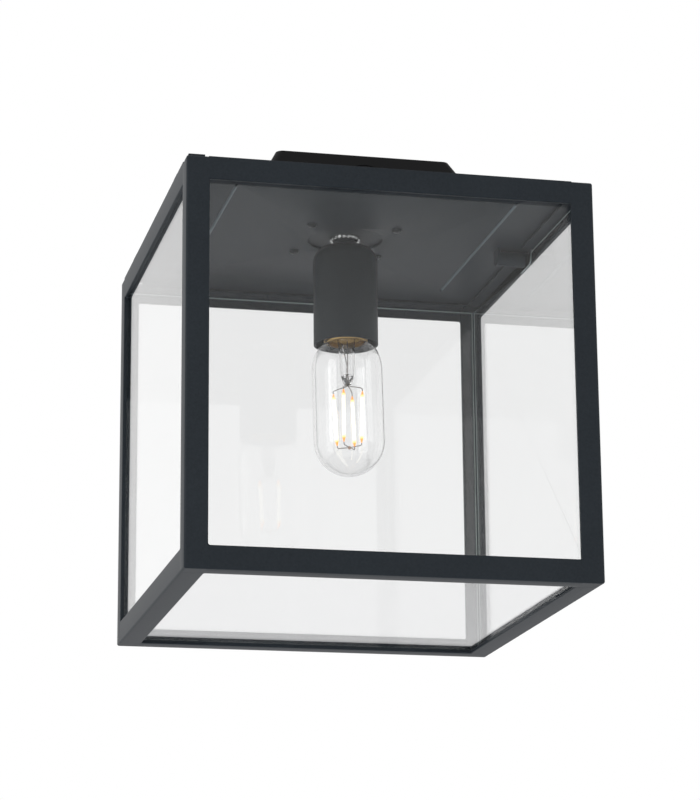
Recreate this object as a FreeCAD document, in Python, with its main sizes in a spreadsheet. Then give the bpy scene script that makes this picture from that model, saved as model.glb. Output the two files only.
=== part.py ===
# Porch ceiling lantern: a glazed steel cage that swings down from a roof plate on the ceiling.
# Frame: origin at the centre of the ceiling face, +Z up, +X right, front at -Y. Millimetres.
import FreeCAD, Part
import math
import os
import Sketcher

doc = FreeCAD.newDocument("lantern")
sheet = doc.addObject("Spreadsheet::Sheet", "Sizes")
pieces = []

drivingSizes = {
    # cage of folded sheet steel
    "cageWide": 250.0, "cageDeep": 260.0, "cageTall": 248.0, "faceWide": 14.0, "lipDeep": 2.5,
    "sheetWall": 1.5, "foldRadius": 1.4, "shelfDrop": 4.5, "shelfWide": 11.2, "capRise": 1.2,
    "capSide": 10.0, "strapLong": 37.0, "strapTall": 4.5, "strapWall": 0.8, "strapGap": 2.0,
    "glassWall": 3.0, "paneGap": 0.5, "glassDrop": 2.0,
    # roof plate
    "plateWall": 1.5, "plateGap": 1.0, "sealWall": 0.7, "sealWide": 5.0, "sealInset": 5.0,
    "recessRadius": 24.0, "recessDeep": 1.5, "beadInset": 37.0, "beadLong": 185.0, "beadRadius": 0.8,
    "screwPitch": 55.0, "screwHoleRadius": 2.2, "screwHeadRadius": 3.4, "screwHeadTall": 1.9,
    "screwLong": 12.0, "screwRadius": 2.0,
    # terminal box
    "boxTall": 36.5, "boxTopSide": 111.0, "boxBaseSide": 151.0, "boxWall": 2.5, "boxCorner": 9.0,
    "bossRadius": 4.5, "fixPitch": 80.0, "fixHoleRadius": 2.6, "entryRadius": 9.0, "cableRadius": 5.0,
    "grommetFlange": 1.2, "grommetLip": 2.0, "grommetTall": 7.0, "gasketSide": 100.0,
    "gasketWide": 4.0, "gasketDeep": 1.2, "knockRadius": 12.0, "knockGroove": 0.5,
    # terminal block, earth screw and leads
    "blockLong": 30.0, "blockDeep": 18.0, "blockTall": 13.0, "blockBack": 40.0, "poleRadius": 2.0,
    "poleTall": 1.5, "poleRise": 0.8, "leadRadius": 1.1, "earthSide": 45.0,
    # threaded nipple, nuts and lampholder
    "nippleRadius": 5.0, "nippleBore": 3.9, "locknutFlats": 14.0, "locknutTall": 4.0, "nutRadius": 9.8,
    "nutTeeth": 20.0, "nutTall": 3.0, "neckRadius": 7.5, "neckTall": 3.5, "holderRadius": 20.5,
    "holderTall": 65.0, "holderWall": 1.5, "holderShoulder": 10.0, "insertTall": 20.0,
    "collarRadius": 8.5, "shellBore": 13.4, "shellWall": 0.4, "shellTall": 32.5, "shellRib": 0.5,
    "threadPitch": 3.63, "tongueWide": 6.0, "tongueWall": 0.5,
    # bulb
    "capRadius": 13.0, "capTall": 24.0, "capWall": 0.3, "capSink": 1.5, "glassRadius": 22.5,
    "bulbLong": 112.6, "envelopeWall": 0.8, "neckGlassRadius": 12.6, "shoulderTall": 20.0,
    "tipRadius": 4.8, "tipTall": 1.8, "tipGap": 0.3, "stemRadius": 5.0, "stemLong": 28.0,
    "stickLong": 33.5, "stickRadius": 0.9, "stickTopRing": 9.6, "stickLowRing": 8.4, "stickTopTurn": 29.4,
    "stickLowTurn": 36.7, "stickDrop": 32.7, "wireRadius": 0.3, "bulbLean": 1.2,
    # hinge on the left and clamp on the right
    "hingeInset": 5.5, "hingeRise": 2.6, "knuckleRadius": 2.3, "pinRadius": 1.2, "pinPlay": 0.05,
    "knuckleLong": 12.0, "knuckleGap": 0.4, "hingeSpread": 160.0, "lugInset": 23.0, "lugDrop": 9.0,
    "lugRadius": 5.0, "lugNose": 3.0, "noseGap": 0.9, "tabWall": 1.5, "tabWide": 10.0,
    "clampRadius": 1.95, "clampPlay": 0.05, "clampHeadRadius": 3.0, "clampHeadTall": 1.2,
    "washerWall": 0.6, "washerGap": 0.2, "washerRim": 0.5, "slotPlay": 0.35, "notchWide": 28.0, "notchDeep": 7.0,
    "notchCorner": 5.0,
}


def fillSheet():
    """Write every driving size and its alias into the spreadsheet."""
    for row, (alias, size) in enumerate(drivingSizes.items(), 1):
        sheet.set(f"A{row}", alias)
        sheet.set(f"B{row}", str(size))
        sheet.setAlias(f"B{row}", alias)
    doc.recompute()


def word(expression):
    """Turn bare aliases into references to the spreadsheet."""
    text = str(expression)
    for alias in sorted(drivingSizes, key=len, reverse=True):
        text = swap(text, alias)
    return text


def swap(text, alias):
    """Put 'Sizes.' before each whole-word use of one alias."""
    out = ""
    at = 0
    while True:
        hit = text.find(alias, at)
        if hit < 0:
            return out + text[at:]
        before = text[hit - 1] if hit else " "
        after = text[hit + len(alias)] if hit + len(alias) < len(text) else " "
        whole = not (before.isalnum() or before == "." or after.isalnum())
        out += text[at:hit] + ("Sizes." if whole else "") + alias
        at = hit + len(alias)


fillSheet()
probe = doc.addObject("App::FeaturePython", "Probe")


def value(expression):
    """Number that an expression on the spreadsheet's aliases gives."""
    return float(probe.evalExpression(word(expression)))


# levels and places that several pieces share, as expressions
boxBase = "(0 - boxTall)"
plateTop = boxBase
plateUnder = f"({plateTop} - plateWall)"
shelfTop = f"({plateUnder} - plateGap)"
cageTop = f"({shelfTop} + shelfDrop)"
cageBottom = f"({cageTop} - cageTall)"
glassTop = f"({shelfTop} - sheetWall - glassDrop)"
recessTop = f"({plateUnder} + recessDeep)"
nutUnder = f"({recessTop} - nutTall)"
neckUnder = f"({nutUnder} - neckTall)"
holderTop = neckUnder
nippleLow = f"({holderTop} - holderWall - 4)"
holderRim = f"({holderTop} - holderTall)"
capRim = f"({holderRim} + capSink)"
capTop = f"({capRim} + capTall)"
tipTop = f"({capTop} + tipTall)"
bulbLow = f"({tipTop} - bulbLong)"
stickTop = f"({capRim} - stickDrop)"
leanPivot = f"({capTop} - capTall / 3)"
halfWide = "(cageWide / 2)"
halfDeep = "(cageDeep / 2)"
plateHalfX = f"({halfWide} - sheetWall - plateGap)"
plateHalfY = f"({halfDeep} - sheetWall - plateGap)"
hingeX = f"(hingeInset - {halfWide})"
hingeZ = f"({cageTop} + hingeRise)"
lugX = f"({halfWide} - lugInset)"
lugZ = f"({cageTop} - lugDrop)"
noseX = f"({halfWide} - sheetWall - noseGap)"


def bind(thing, **expressions):
    """Bind properties of an object to expressions; double underscores stand for dots."""
    for name, expression in expressions.items():
        thing.setExpression(name.replace("__", "."), word(expression))
    return thing


def place(thing, x="0", y="0", z="0", turn=0.0, axis=(0, 0, 1)):
    """Turn an object about an axis, and bind its place."""
    thing.Placement = FreeCAD.Placement(FreeCAD.Vector(), FreeCAD.Rotation(FreeCAD.Vector(*axis), turn))
    return bind(thing, Placement__Base__x=x, Placement__Base__y=y, Placement__Base__z=z)


def piece(thing, label):
    """Name a finished sub-part and put it on the list of nodes."""
    thing.Label = label
    pieces.append(thing)
    return thing


def box(name, long, deep, tall, x, y, z):
    """A block from its sizes and its low corner."""
    block = bind(doc.addObject("Part::Box", name), Length=long, Width=deep, Height=tall)
    return place(block, x, y, z)


def rod(name, radius, long, x, y, z, axis="z"):
    """A round bar that starts at a point and runs along +X, +Y or +Z."""
    bar = bind(doc.addObject("Part::Cylinder", name), Radius=radius, Height=long)
    turns = {"z": (0, (0, 0, 1)), "x": (90, (0, 1, 0)), "y": (-90, (1, 0, 0))}
    return place(bar, x, y, z, *turns[axis])


def fuse(name, *things):
    """One solid from several that touch or overlap."""
    joined = doc.addObject("Part::MultiFuse", name)
    joined.Shapes = list(things)
    joined.Refine = True
    return joined


def cut(name, base, *tools):
    """A solid with one or more others cut away."""
    tool = tools[0] if len(tools) == 1 else fuse(name + "Tools", *tools)
    left = doc.addObject("Part::Cut", name)
    left.Base = base
    left.Tool = tool
    left.Refine = True
    return left


def group(name, *things):
    """Several separate solids kept together in one node."""
    held = doc.addObject("Part::Compound", name)
    held.Links = list(things)
    return held


def originPlane(body, role):
    """A body's own origin plane."""
    return next(plane for plane in body.Origin.OriginFeatures if plane.Role == role)


def outline(body, role, corners):
    """A closed sketch whose corners are bound to expressions."""
    sketch = body.newObject("Sketcher::SketchObject", body.Name + "Outline")
    sketch.AttachmentSupport = [(originPlane(body, role), "")]
    sketch.MapMode = "FlatFace"
    points = [FreeCAD.Vector(value(across), value(up), 0) for across, up in corners]
    for index, point in enumerate(points):
        sketch.addGeometry(Part.LineSegment(point, points[(index + 1) % len(points)]), False)
    for index in range(len(points)):
        sketch.addConstraint(Sketcher.Constraint("Coincident", index, 2, (index + 1) % len(points), 1))
    for index, (across, up) in enumerate(corners):
        for kind, expression in (("DistanceX", across), ("DistanceY", up)):
            rule = Sketcher.Constraint(kind, -1, 1, index, 1, value(expression))
            number = sketch.addConstraint(rule)
            sketch.setExpression(f"Constraints[{number}]", word(expression))
    return sketch


def extruded(name, role, corners, long):
    """A body padded from an outline on one of its origin planes."""
    body = doc.addObject("PartDesign::Body", name)
    pad = body.newObject("PartDesign::Pad", name + "Pad")
    pad.Profile = outline(body, role, corners)
    bind(pad, Length=long)
    doc.recompute()
    return body


def turned(name, corners):
    """A body revolved about its own Z axis; corners are (radius, height)."""
    body = doc.addObject("PartDesign::Body", name)
    sketch = outline(body, "XZ_Plane", corners)
    rounding = body.newObject("PartDesign::Revolution", name + "Turn")
    rounding.Profile = sketch
    rounding.ReferenceAxis = (sketch, ["V_Axis"])
    rounding.Angle = 360
    doc.recompute()
    return body


def roundEdges(body, radius, wanted):
    """Round the edges of a body's last solid that pass a test."""
    last = body.Tip
    names = [f"Edge{number}" for number, edge in enumerate(last.Shape.Edges, 1) if wanted(edge)]
    fold = body.newObject("PartDesign::Fillet", body.Name + "Fold")
    fold.Base = (last, names)
    bind(fold, Radius=radius)
    doc.recompute()


near = 1e-4


def onCornerLine(edge):
    """True for the upright edge on a post's own origin."""
    return all(abs(vertex.X) < near and abs(vertex.Y) < near for vertex in edge.Vertexes)


def onLowEdge(edge):
    """True for the outer low edge that runs along a rail's own X axis."""
    return all(abs(vertex.Y) < near and abs(vertex.Z) < near for vertex in edge.Vertexes)


# ---- cage: posts, rails, straps and panes --------------------------------------------------------

def cornerPost(label, x, y, turn, raised):
    """A full-height angle with a lip at each window edge and a closing plate at each end."""
    section = [("0", "0"), ("faceWide", "0"), ("faceWide", "lipDeep"), ("faceWide - sheetWall", "lipDeep"),
               ("faceWide - sheetWall", "sheetWall"), ("sheetWall", "sheetWall"),
               ("sheetWall", "faceWide - sheetWall"), ("lipDeep", "faceWide - sheetWall"),
               ("lipDeep", "faceWide"), ("0", "faceWide")]
    angle = extruded(label + "Angle", "XY_Plane", section, "cageTall")
    roundEdges(angle, "foldRadius", onCornerLine)
    plates = []
    for end, low in (("Foot", "0"), ("Head", "cageTall - sheetWall")):
        plate = extruded(label + end, "XY_Plane", [("0", "0"), ("faceWide", "0"), ("faceWide", "faceWide"),
                                                   ("0", "faceWide")], "sheetWall")
        roundEdges(plate, "foldRadius", onCornerLine)
        plates.append(place(plate, z=low))
    if raised:
        plates.append(box(label + "Cap", "capSide", "capSide", "capRise", "foldRadius", "foldRadius", "cageTall"))
    piece(place(fuse(label + "Solid", angle, *plates), x, y, cageBottom, turn), label)


def topRail(label, x, y, turn, long, notch=False):
    """A rail with its face outside, a lip at the window edge and a shelf for the roof plate."""
    section = [("0", "0"), ("lipDeep", "0"), ("lipDeep", "sheetWall"), ("sheetWall", "sheetWall"),
               ("sheetWall", "faceWide - shelfDrop - sheetWall"),
               ("shelfWide", "faceWide - shelfDrop - sheetWall"), ("shelfWide", "faceWide - shelfDrop"),
               ("sheetWall", "faceWide - shelfDrop"), ("sheetWall", "faceWide"), ("0", "faceWide")]
    rail = extruded(label + "Channel", "YZ_Plane", section, long)
    if notch:
        middle = f"({long}) / 2"
        gap = box(label + "Notch", "notchWide", "shelfWide", "2 * sheetWall", f"{middle} - notchWide / 2",
                  "sheetWall", "faceWide - shelfDrop - 1.5 * sheetWall")
        slotHalf = "(clampRadius + slotPlay)"
        slot = box(label + "Slot", f"2 * {slotHalf}", "3 * sheetWall", "lugDrop + sheetWall",
                   f"{middle} - {slotHalf}", "-sheetWall", "faceWide - lugDrop")
        end = rod(label + "SlotEnd", slotHalf, "3 * sheetWall", middle, "-sheetWall", "faceWide - lugDrop", "y")
        rail = cut(label + "Cut", rail, gap, slot, end)
    piece(place(rail, x, y, f"{cageTop} - faceWide", turn), label)


def bottomRail(label, x, y, turn, long):
    """A rail with a face outside, a face below and a lip at both window edges."""
    section = [("0", "0"), ("faceWide", "0"), ("faceWide", "lipDeep"), ("faceWide - sheetWall", "lipDeep"),
               ("faceWide - sheetWall", "sheetWall"), ("sheetWall", "sheetWall"),
               ("sheetWall", "faceWide - sheetWall"), ("lipDeep", "faceWide - sheetWall"),
               ("lipDeep", "faceWide"), ("0", "faceWide")]
    rail = extruded(label + "Channel", "YZ_Plane", section, long)
    roundEdges(rail, "foldRadius", onLowEdge)
    piece(place(rail, x, y, cageBottom, turn), label)


def makeFrame():
    """Four posts with the rails butting between them."""
    spanX = "cageWide - 2 * faceWide"
    spanY = "cageDeep - 2 * faceWide"
    left, right = f"(0 - {halfWide})", halfWide
    front, back = f"(0 - {halfDeep})", halfDeep
    cornerPost("post_front_left", left, front, 0, True)
    cornerPost("post_front_right", right, front, 90, False)
    cornerPost("post_back_right", right, back, 180, False)
    cornerPost("post_back_left", left, back, 270, False)
    rails = (("front", f"{left} + faceWide", front, 0, spanX), ("right", right, f"{front} + faceWide", 90, spanY),
             ("back", f"{right} - faceWide", back, 180, spanX), ("left", left, f"{back} - faceWide", 270, spanY))
    for side, x, y, turn, long in rails:
        topRail("top_rail_" + side, x, y, turn, long, side == "right")
        bottomRail("bottom_rail_" + side, x, y, turn, long)


def makeStraps():
    """Short joining straps: inside the top rails' faces, and on the bottom rails' inner lips."""
    corner = {"Left": f"strapGap + faceWide - {halfWide}", "Right": f"{halfWide} - faceWide - strapGap - strapLong"}
    depth = {"Front": f"strapGap + faceWide - {halfDeep}", "Back": f"{halfDeep} - faceWide - strapGap - strapLong"}
    topZ = f"{cageTop} - faceWide + sheetWall"
    lowZ = f"{cageBottom} + sheetWall"
    top, low = [], []
    for name, x in corner.items():
        wallY = {"Front": f"sheetWall - {halfDeep}", "Back": f"{halfDeep} - sheetWall - strapWall"}
        lipY = {"Front": f"faceWide - {halfDeep}", "Back": f"{halfDeep} - faceWide - strapWall"}
        for side in wallY:
            top.append(box(f"TopStrapX{name}{side}", "strapLong", "strapWall", "strapTall", x, wallY[side], topZ))
            low.append(box(f"LowStrapX{name}{side}", "strapLong", "strapWall", "lipDeep - sheetWall - 0.5",
                           x, lipY[side], lowZ))
    for name, y in depth.items():
        wallX = {"Left": f"sheetWall - {halfWide}", "Right": f"{halfWide} - sheetWall - strapWall"}
        lipX = {"Left": f"faceWide - {halfWide}", "Right": f"{halfWide} - faceWide - strapWall"}
        for side in wallX:
            top.append(box(f"TopStrapY{name}{side}", "strapWall", "strapLong", "strapTall", wallX[side], y, topZ))
            low.append(box(f"LowStrapY{name}{side}", "strapWall", "strapLong", "lipDeep - sheetWall - 0.5",
                           lipX[side], y, lowZ))
    piece(group("TopStraps", *top), "top_corner_straps")
    piece(group("LowStraps", *low), "bottom_corner_straps")


def makePanes():
    """Five clear panes behind the lips; the right one is notched round the clamp lug."""
    tall = f"{glassTop} - {cageBottom} - sheetWall"
    foot = f"{cageBottom} + sheetWall"
    edge = "(lipDeep + glassWall + paneGap)"
    wide = f"cageWide - 2 * {edge}"
    deep = f"cageDeep - 2 * {edge}"
    lowX, lowY = f"{edge} - {halfWide}", f"{edge} - {halfDeep}"
    piece(box("PaneFront", wide, "glassWall", tall, lowX, f"lipDeep - {halfDeep}", foot), "pane_front")
    piece(box("PaneBack", wide, "glassWall", tall, lowX, f"{halfDeep} - lipDeep - glassWall", foot), "pane_back")
    piece(box("PaneLeft", "glassWall", deep, tall, f"lipDeep - {halfWide}", lowY, foot), "pane_left")
    rightX = f"{halfWide} - lipDeep - glassWall"
    sheetGlass = box("PaneRightSheet", "glassWall", deep, tall, rightX, lowY, foot)
    drill = ("3 * glassWall", f"{rightX} - glassWall")
    wideNotch = box("PaneNotchWide", drill[0], "notchWide", "notchDeep", drill[1], "-notchWide / 2",
                    f"{glassTop} - notchDeep + notchCorner")
    deepNotch = box("PaneNotchDeep", drill[0], "notchWide - 2 * notchCorner", "notchDeep", drill[1],
                    "notchCorner - notchWide / 2", f"{glassTop} - notchDeep")
    ends = [rod(f"PaneNotchEnd{side}", "notchCorner", drill[0], drill[1], y, f"{glassTop} - notchDeep + notchCorner",
                "x") for side, y in (("A", "notchWide / 2 - notchCorner"), ("B", "notchCorner - notchWide / 2"))]
    piece(cut("PaneRight", sheetGlass, wideNotch, deepNotch, *ends), "pane_right")
    piece(box("PaneBottom", wide, deep, "glassWall", lowX, lowY, f"{cageBottom} + lipDeep"), "pane_bottom")


# ---- roof plate, its seal and its screws ---------------------------------------------------------

hingeSides = {"Front": "(0 - hingeSpread / 2)", "Back": "(hingeSpread / 2)"}


def fourPlaces(half):
    """Centres of four like things on a square."""
    return [(f"{sx}{half}", f"{sy}{half}") for sx in ("", "0 - ") for sy in ("", "0 - ")]


def makeRoofPlate():
    """The plate with its pressed recess, beads, screw holes and notches for the posts and hinge leaves."""
    plate = box("PlateSheet", f"2 * {plateHalfX}", f"2 * {plateHalfY}", "plateWall", f"0 - {plateHalfX}",
                f"0 - {plateHalfY}", plateUnder)
    dome = rod("PlateDome", "recessRadius + plateWall", "recessDeep", "0", "0", plateTop)
    adds = [plate, dome]
    for name, x in (("Left", f"beadInset - {halfWide}"), ("Right", f"{halfWide} - beadInset")):
        bead = rod("PlateBead" + name, "beadRadius", "beadLong", x, "-beadLong / 2", plateUnder, "y")
        adds.append(bead)
    hollows = [rod("PlateRecess", "recessRadius", "recessDeep", "0", "0", plateUnder),
               rod("PlateNippleHole", "nippleRadius + pinPlay", "3 * plateWall", "0", "0", plateUnder)]
    for number, (x, y) in enumerate(fourPlaces("screwPitch / 2")):
        hollows.append(rod(f"PlateHole{number}", "screwHoleRadius", "3 * plateWall", x, y,
                           f"{plateUnder} - plateWall"))
    corner = "(faceWide + plateGap)"
    for number, (x, y) in enumerate(fourPlaces("1")):
        lowX = f"{halfWide} * ({x}) - {corner}"
        lowY = f"{halfDeep} * ({y}) - {corner}"
        hollows.append(box(f"PlateCorner{number}", f"2 * {corner}", f"2 * {corner}", "3 * plateWall", lowX, lowY,
                           f"{plateUnder} - plateWall"))
    for name, y in hingeSides.items():
        hollows.append(box("PlateNotch" + name, "sheetWall + 2", "knuckleLong + 2 * knuckleGap", "3 * plateWall",
                           f"0 - {plateHalfX} - 1", f"{y} - knuckleLong / 2 - knuckleGap", f"{plateUnder} - plateWall"))
    piece(cut("RoofPlate", fuse("PlateSolid", *adds), *hollows), "roof_plate")


def makeKnuckles():
    """Fixed knuckles on webs that stand on the roof plate, one each side of each of the cage's knuckles."""
    made = []
    reach = "(knuckleLong * 1.5 + knuckleGap)"
    for name, y in hingeSides.items():
        for side, low in (("A", f"{y} - {reach}"), ("B", f"{y} + knuckleLong / 2 + knuckleGap")):
            part = name + side
            knuckle = rod("FixedKnuckle" + part, "knuckleRadius", "knuckleLong", hingeX, low, hingeZ, "y")
            web = box("FixedWeb" + part, "plateWall", "knuckleLong", f"{hingeZ} - {plateTop}",
                      f"{hingeX} + knuckleRadius - plateWall / 2", low, plateTop)
            bore = rod("FixedBore" + part, "pinRadius", "2 * knuckleLong", hingeX, f"{low} - knuckleLong / 2",
                       hingeZ, "y")
            made.append(cut("Fixed" + part, fuse("FixedSolid" + part, knuckle, web), bore))
    piece(group("FixedKnuckles", *made), "roof_knuckles")


def makeHinge():
    """The cage's knuckles on leaves that stand on the left rail's shelf, and the two pins."""
    leaves, pins = [], []
    for name, y in hingeSides.items():
        low = f"{y} - knuckleLong / 2"
        knuckle = rod("LeafKnuckle" + name, "knuckleRadius", "knuckleLong", hingeX, low, hingeZ, "y")
        web = box("LeafWeb" + name, "sheetWall", "knuckleLong", f"{hingeZ} - {shelfTop}",
                  f"sheetWall - {halfWide}", low, shelfTop)
        arm = box("LeafArm" + name, "hingeInset - sheetWall", "knuckleLong", "sheetWall", f"sheetWall - {halfWide}",
                  low, f"{hingeZ} - sheetWall / 2")
        bore = rod("LeafBore" + name, "pinRadius + pinPlay", "3 * knuckleLong", hingeX, f"{y} - knuckleLong * 1.5",
                   hingeZ, "y")
        leaves.append(cut("Leaf" + name, fuse("LeafSolid" + name, knuckle, web, arm), bore))
        pins.append(rod("Pin" + name, "pinRadius", "3 * knuckleLong + 2 * knuckleGap", hingeX,
                        f"{y} - knuckleLong * 1.5 - knuckleGap", hingeZ, "y"))
    piece(group("Leaves", *leaves), "hinge_leaves")
    piece(group("Pins", *pins), "hinge_pins")


def makeSeal():
    """Foam strips under the roof plate, just clear of the cage's shelf and broken at the clamp lug."""
    endX = f"({halfWide} - faceWide - plateGap)"
    endY = f"({halfDeep} - faceWide - plateGap)"
    low = f"{plateUnder} - sealWall"
    along = [("Front", f"sealInset - {halfDeep}"), ("Back", f"{halfDeep} - sealInset - sealWide")]
    strips = [box("Seal" + side, f"2 * {endX}", "sealWide", "sealWall", f"0 - {endX}", y, low) for side, y in along]
    strips.append(box("SealLeft", "sealWide", f"2 * {endY}", "sealWall", f"sealInset - {halfWide}",
                      f"0 - {endY}", low))
    short = f"({endY} - notchWide / 2)"
    for side, y in (("A", f"0 - {endY}"), ("B", "notchWide / 2")):
        strips.append(box("SealRight" + side, "sealWide", short, "sealWall", f"{halfWide} - sealInset - sealWide",
                          y, low))
    piece(group("Seal", *strips), "roof_seal")


def makeRoofScrews():
    """Four pan-head screws up through the roof plate into the terminal box's bosses."""
    screws = []
    for number, (x, y) in enumerate(fourPlaces("screwPitch / 2")):
        head = turned(f"RoofScrewHead{number}", [("0", "0"), ("screwHeadRadius * 0.55", "0"),
                                                ("screwHeadRadius * 0.9", "screwHeadTall * 0.4"),
                                                ("screwHeadRadius", "screwHeadTall"), ("0", "screwHeadTall")])
        place(head, x, y, f"{plateUnder} - screwHeadTall")
        cross = [box(f"RoofScrewCross{number}{turn}", "screwHeadRadius" if turn else "0.8",
                     "0.8" if turn else "screwHeadRadius", "screwHeadTall * 0.4",
                     f"{x} - {'screwHeadRadius / 2' if turn else '0.4'}",
                     f"{y} - {'0.4' if turn else 'screwHeadRadius / 2'}",
                     f"{plateUnder} - screwHeadTall") for turn in (0, 1)]
        shank = rod(f"RoofScrewShank{number}", "screwRadius", "screwLong", x, y, plateUnder)
        screws.append(cut(f"RoofScrew{number}", fuse(f"RoofScrewSolid{number}", head, shank), *cross))
    piece(group("RoofScrews", *screws), "roof_screws")


# ---- terminal box on the ceiling -----------------------------------------------------------------

def roundedSquare(half, corner, level):
    """A closed wire: a square with round corners at one level."""
    flat = half - corner
    bend = corner * (1 - math.sqrt(0.5))
    edges = []
    quarter = FreeCAD.Rotation(FreeCAD.Vector(0, 0, 1), 90)
    points = [FreeCAD.Vector(half, -flat, level), FreeCAD.Vector(half, flat, level),
              FreeCAD.Vector(half - bend, half - bend, level), FreeCAD.Vector(flat, half, level)]
    for _ in range(4):
        edges.append(Part.LineSegment(points[0], points[1]).toShape())
        edges.append(Part.Arc(points[1], points[2], points[3]).toShape())
        points = [quarter.multVec(point) for point in points]
    return Part.Wire(edges)


def makeTerminalBox():
    """A black moulded box: a narrow ceiling face, flared sides, an open base on the roof plate."""
    top, base = value("boxTopSide / 2"), value("boxBaseSide / 2")
    wall, tall, corner = value("boxWall"), value("boxTall"), value("boxCorner")
    flare = (base - top) / tall
    innerTop = top - wall + flare * wall
    outer = Part.makeLoft([roundedSquare(base, corner * 1.4, -tall), roundedSquare(top, corner, 0)], True, True)
    inner = Part.makeLoft([roundedSquare(base - wall, corner * 1.4 - wall, -tall),
                           roundedSquare(innerTop, corner - wall, -wall)], True, True)
    shell = outer.cut(inner)
    for x, y in ((1, 1), (1, -1), (-1, 1), (-1, -1)):
        half = value("screwPitch / 2")
        boss = Part.makeCylinder(value("bossRadius"), tall - wall / 2, FreeCAD.Vector(x * half, y * half, -tall))
        shell = shell.fuse(boss)
    shell = shell.cut(boxHollows(tall, wall))
    shell = shell.cut(knockoutGroove(top, base, tall))
    case = doc.addObject("Part::Feature", "TerminalBox")
    case.Shape = shell.removeSplitter()
    piece(case, "terminal_box")


def boxHollows(tall, wall):
    """Screw pilot holes, ceiling screw holes, cable entry and gasket groove of the terminal box."""
    half, fix = value("screwPitch / 2"), value("fixPitch / 2")
    holes = [Part.makeCylinder(value("entryRadius"), 3 * wall, FreeCAD.Vector(0, 0, -2 * wall))]
    for x, y in ((1, 1), (1, -1), (-1, 1), (-1, -1)):
        holes.append(Part.makeCylinder(value("screwRadius"), value("screwLong"),
                                       FreeCAD.Vector(x * half, y * half, -tall)))
        holes.append(Part.makeCylinder(value("fixHoleRadius"), 3 * wall,
                                       FreeCAD.Vector(x * fix, y * fix, -2 * wall)))
    side, wide, deep = value("gasketSide / 2"), value("gasketWide"), value("gasketDeep")
    holes.append(squareRing(side, wide, -deep, 2 * deep))
    return Part.makeCompound(holes)


def squareRing(half, wide, low, tall):
    """A flat square ring of one width."""
    outer = Part.makeBox(2 * half, 2 * half, tall, FreeCAD.Vector(-half, -half, low))
    hole = half - wide
    return outer.cut(Part.makeBox(2 * hole, 2 * hole, tall, FreeCAD.Vector(-hole, -hole, low)))


def knockoutGroove(top, base, tall):
    """A shallow ring in the middle of the front wall, square to that wall's slope."""
    lean = math.degrees(math.atan2(base - top, tall))
    depth, radius = value("knockGroove"), value("knockRadius")
    ring = Part.makeTorus(radius, depth, FreeCAD.Vector(), FreeCAD.Vector(0, 0, 1))
    ring.rotate(FreeCAD.Vector(), FreeCAD.Vector(1, 0, 0), 90 - lean)
    ring.translate(FreeCAD.Vector(0, -(top + base) / 2, -tall / 2))
    return ring


def makeBoxTrim():
    """The ceiling gasket in its groove and the cable grommet in the entry hole."""
    ring = doc.addObject("Part::Feature", "Gasket")
    ring.Shape = squareRing(value("gasketSide / 2"), value("gasketWide"), -value("gasketDeep"), value("gasketDeep"))
    piece(ring, "ceiling_gasket")
    profile = [("cableRadius", "0"), ("entryRadius", "0"), ("entryRadius", "-boxWall"),
               ("entryRadius + grommetLip", "-boxWall"), ("entryRadius + grommetLip", "-boxWall - grommetFlange"),
               ("cableRadius + 1.5", "-grommetTall"), ("cableRadius", "-grommetTall")]
    piece(turned("Grommet", profile), "cable_grommet")


def makeTerminalBlock():
    """A three-pole block on the roof plate with its six pole screws, and the plate's earth screw."""
    long, deep = "blockLong", "blockDeep"
    base = box("BlockBase", long, deep, "blockTall", "-blockLong / 2", "blockBack - blockDeep / 2", plateTop)
    grooves = [box(f"BlockGroove{side}", "1.2", "2 * blockDeep", "blockTall",
                   f"{side} * blockLong / 6 - 0.6", "blockBack - blockDeep", f"{plateTop} + blockTall / 2")
               for side in (-1, 1)]
    wells, screws = [], []
    for column in (-1, 0, 1):
        for row in (-1, 1):
            x = f"{column} * blockLong / 3"
            y = f"blockBack + {row} * blockDeep / 4"
            top = f"{plateTop} + blockTall"
            wells.append(rod(f"BlockWell{column + 1}{row + 1}", "poleRadius", "blockTall", x, y,
                             f"{top} - poleTall - poleRise"))
            slot = box(f"PoleSlot{column + 1}{row + 1}", "2 * poleRadius", "0.6", "1", f"{x} - poleRadius",
                       f"{y} - 0.3", f"{top} - poleRise - 0.5")
            head = rod(f"PoleHead{column + 1}{row + 1}", "poleRadius", "poleTall", x, y,
                       f"{top} - poleTall - poleRise")
            screws.append(cut(f"PoleScrew{column + 1}{row + 1}", head, slot))
    piece(cut("TerminalBlock", base, *grooves, *wells), "terminal_block")
    piece(group("PoleScrews", *screws), "terminal_screws")
    head = rod("EarthHead", "screwHeadRadius", "screwHeadTall", "earthSide", "0", plateTop)
    slot = box("EarthSlot", "2 * screwHeadRadius", "0.8", "screwHeadTall", "earthSide - screwHeadRadius", "-0.4",
               f"{plateTop} + screwHeadTall * 0.6")
    piece(cut("EarthScrew", head, slot), "earth_screw")


def leadPath(points, share=0.45):
    """A wire of straight runs joined by tangent arcs through a list of points."""
    edges = []
    start = points[0]
    for before, corner, after in zip(points, points[1:], points[2:]):
        back = (before - corner).normalize()
        ahead = (after - corner).normalize()
        reach = share * min((before - corner).Length, (after - corner).Length)
        enter, leave = corner + back * reach, corner + ahead * reach
        turn = math.pi - back.getAngle(ahead)
        radius = reach / math.tan(turn / 2)
        centre = corner + (back + ahead).normalize() * (radius / math.cos(turn / 2))
        middle = centre + (corner - centre).normalize() * radius
        edges.append(Part.LineSegment(start, enter).toShape())
        edges.append(Part.Arc(enter, middle, leave).toShape())
        start = leave
    edges.append(Part.LineSegment(start, points[-1]).toShape())
    return Part.Wire(edges)


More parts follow.
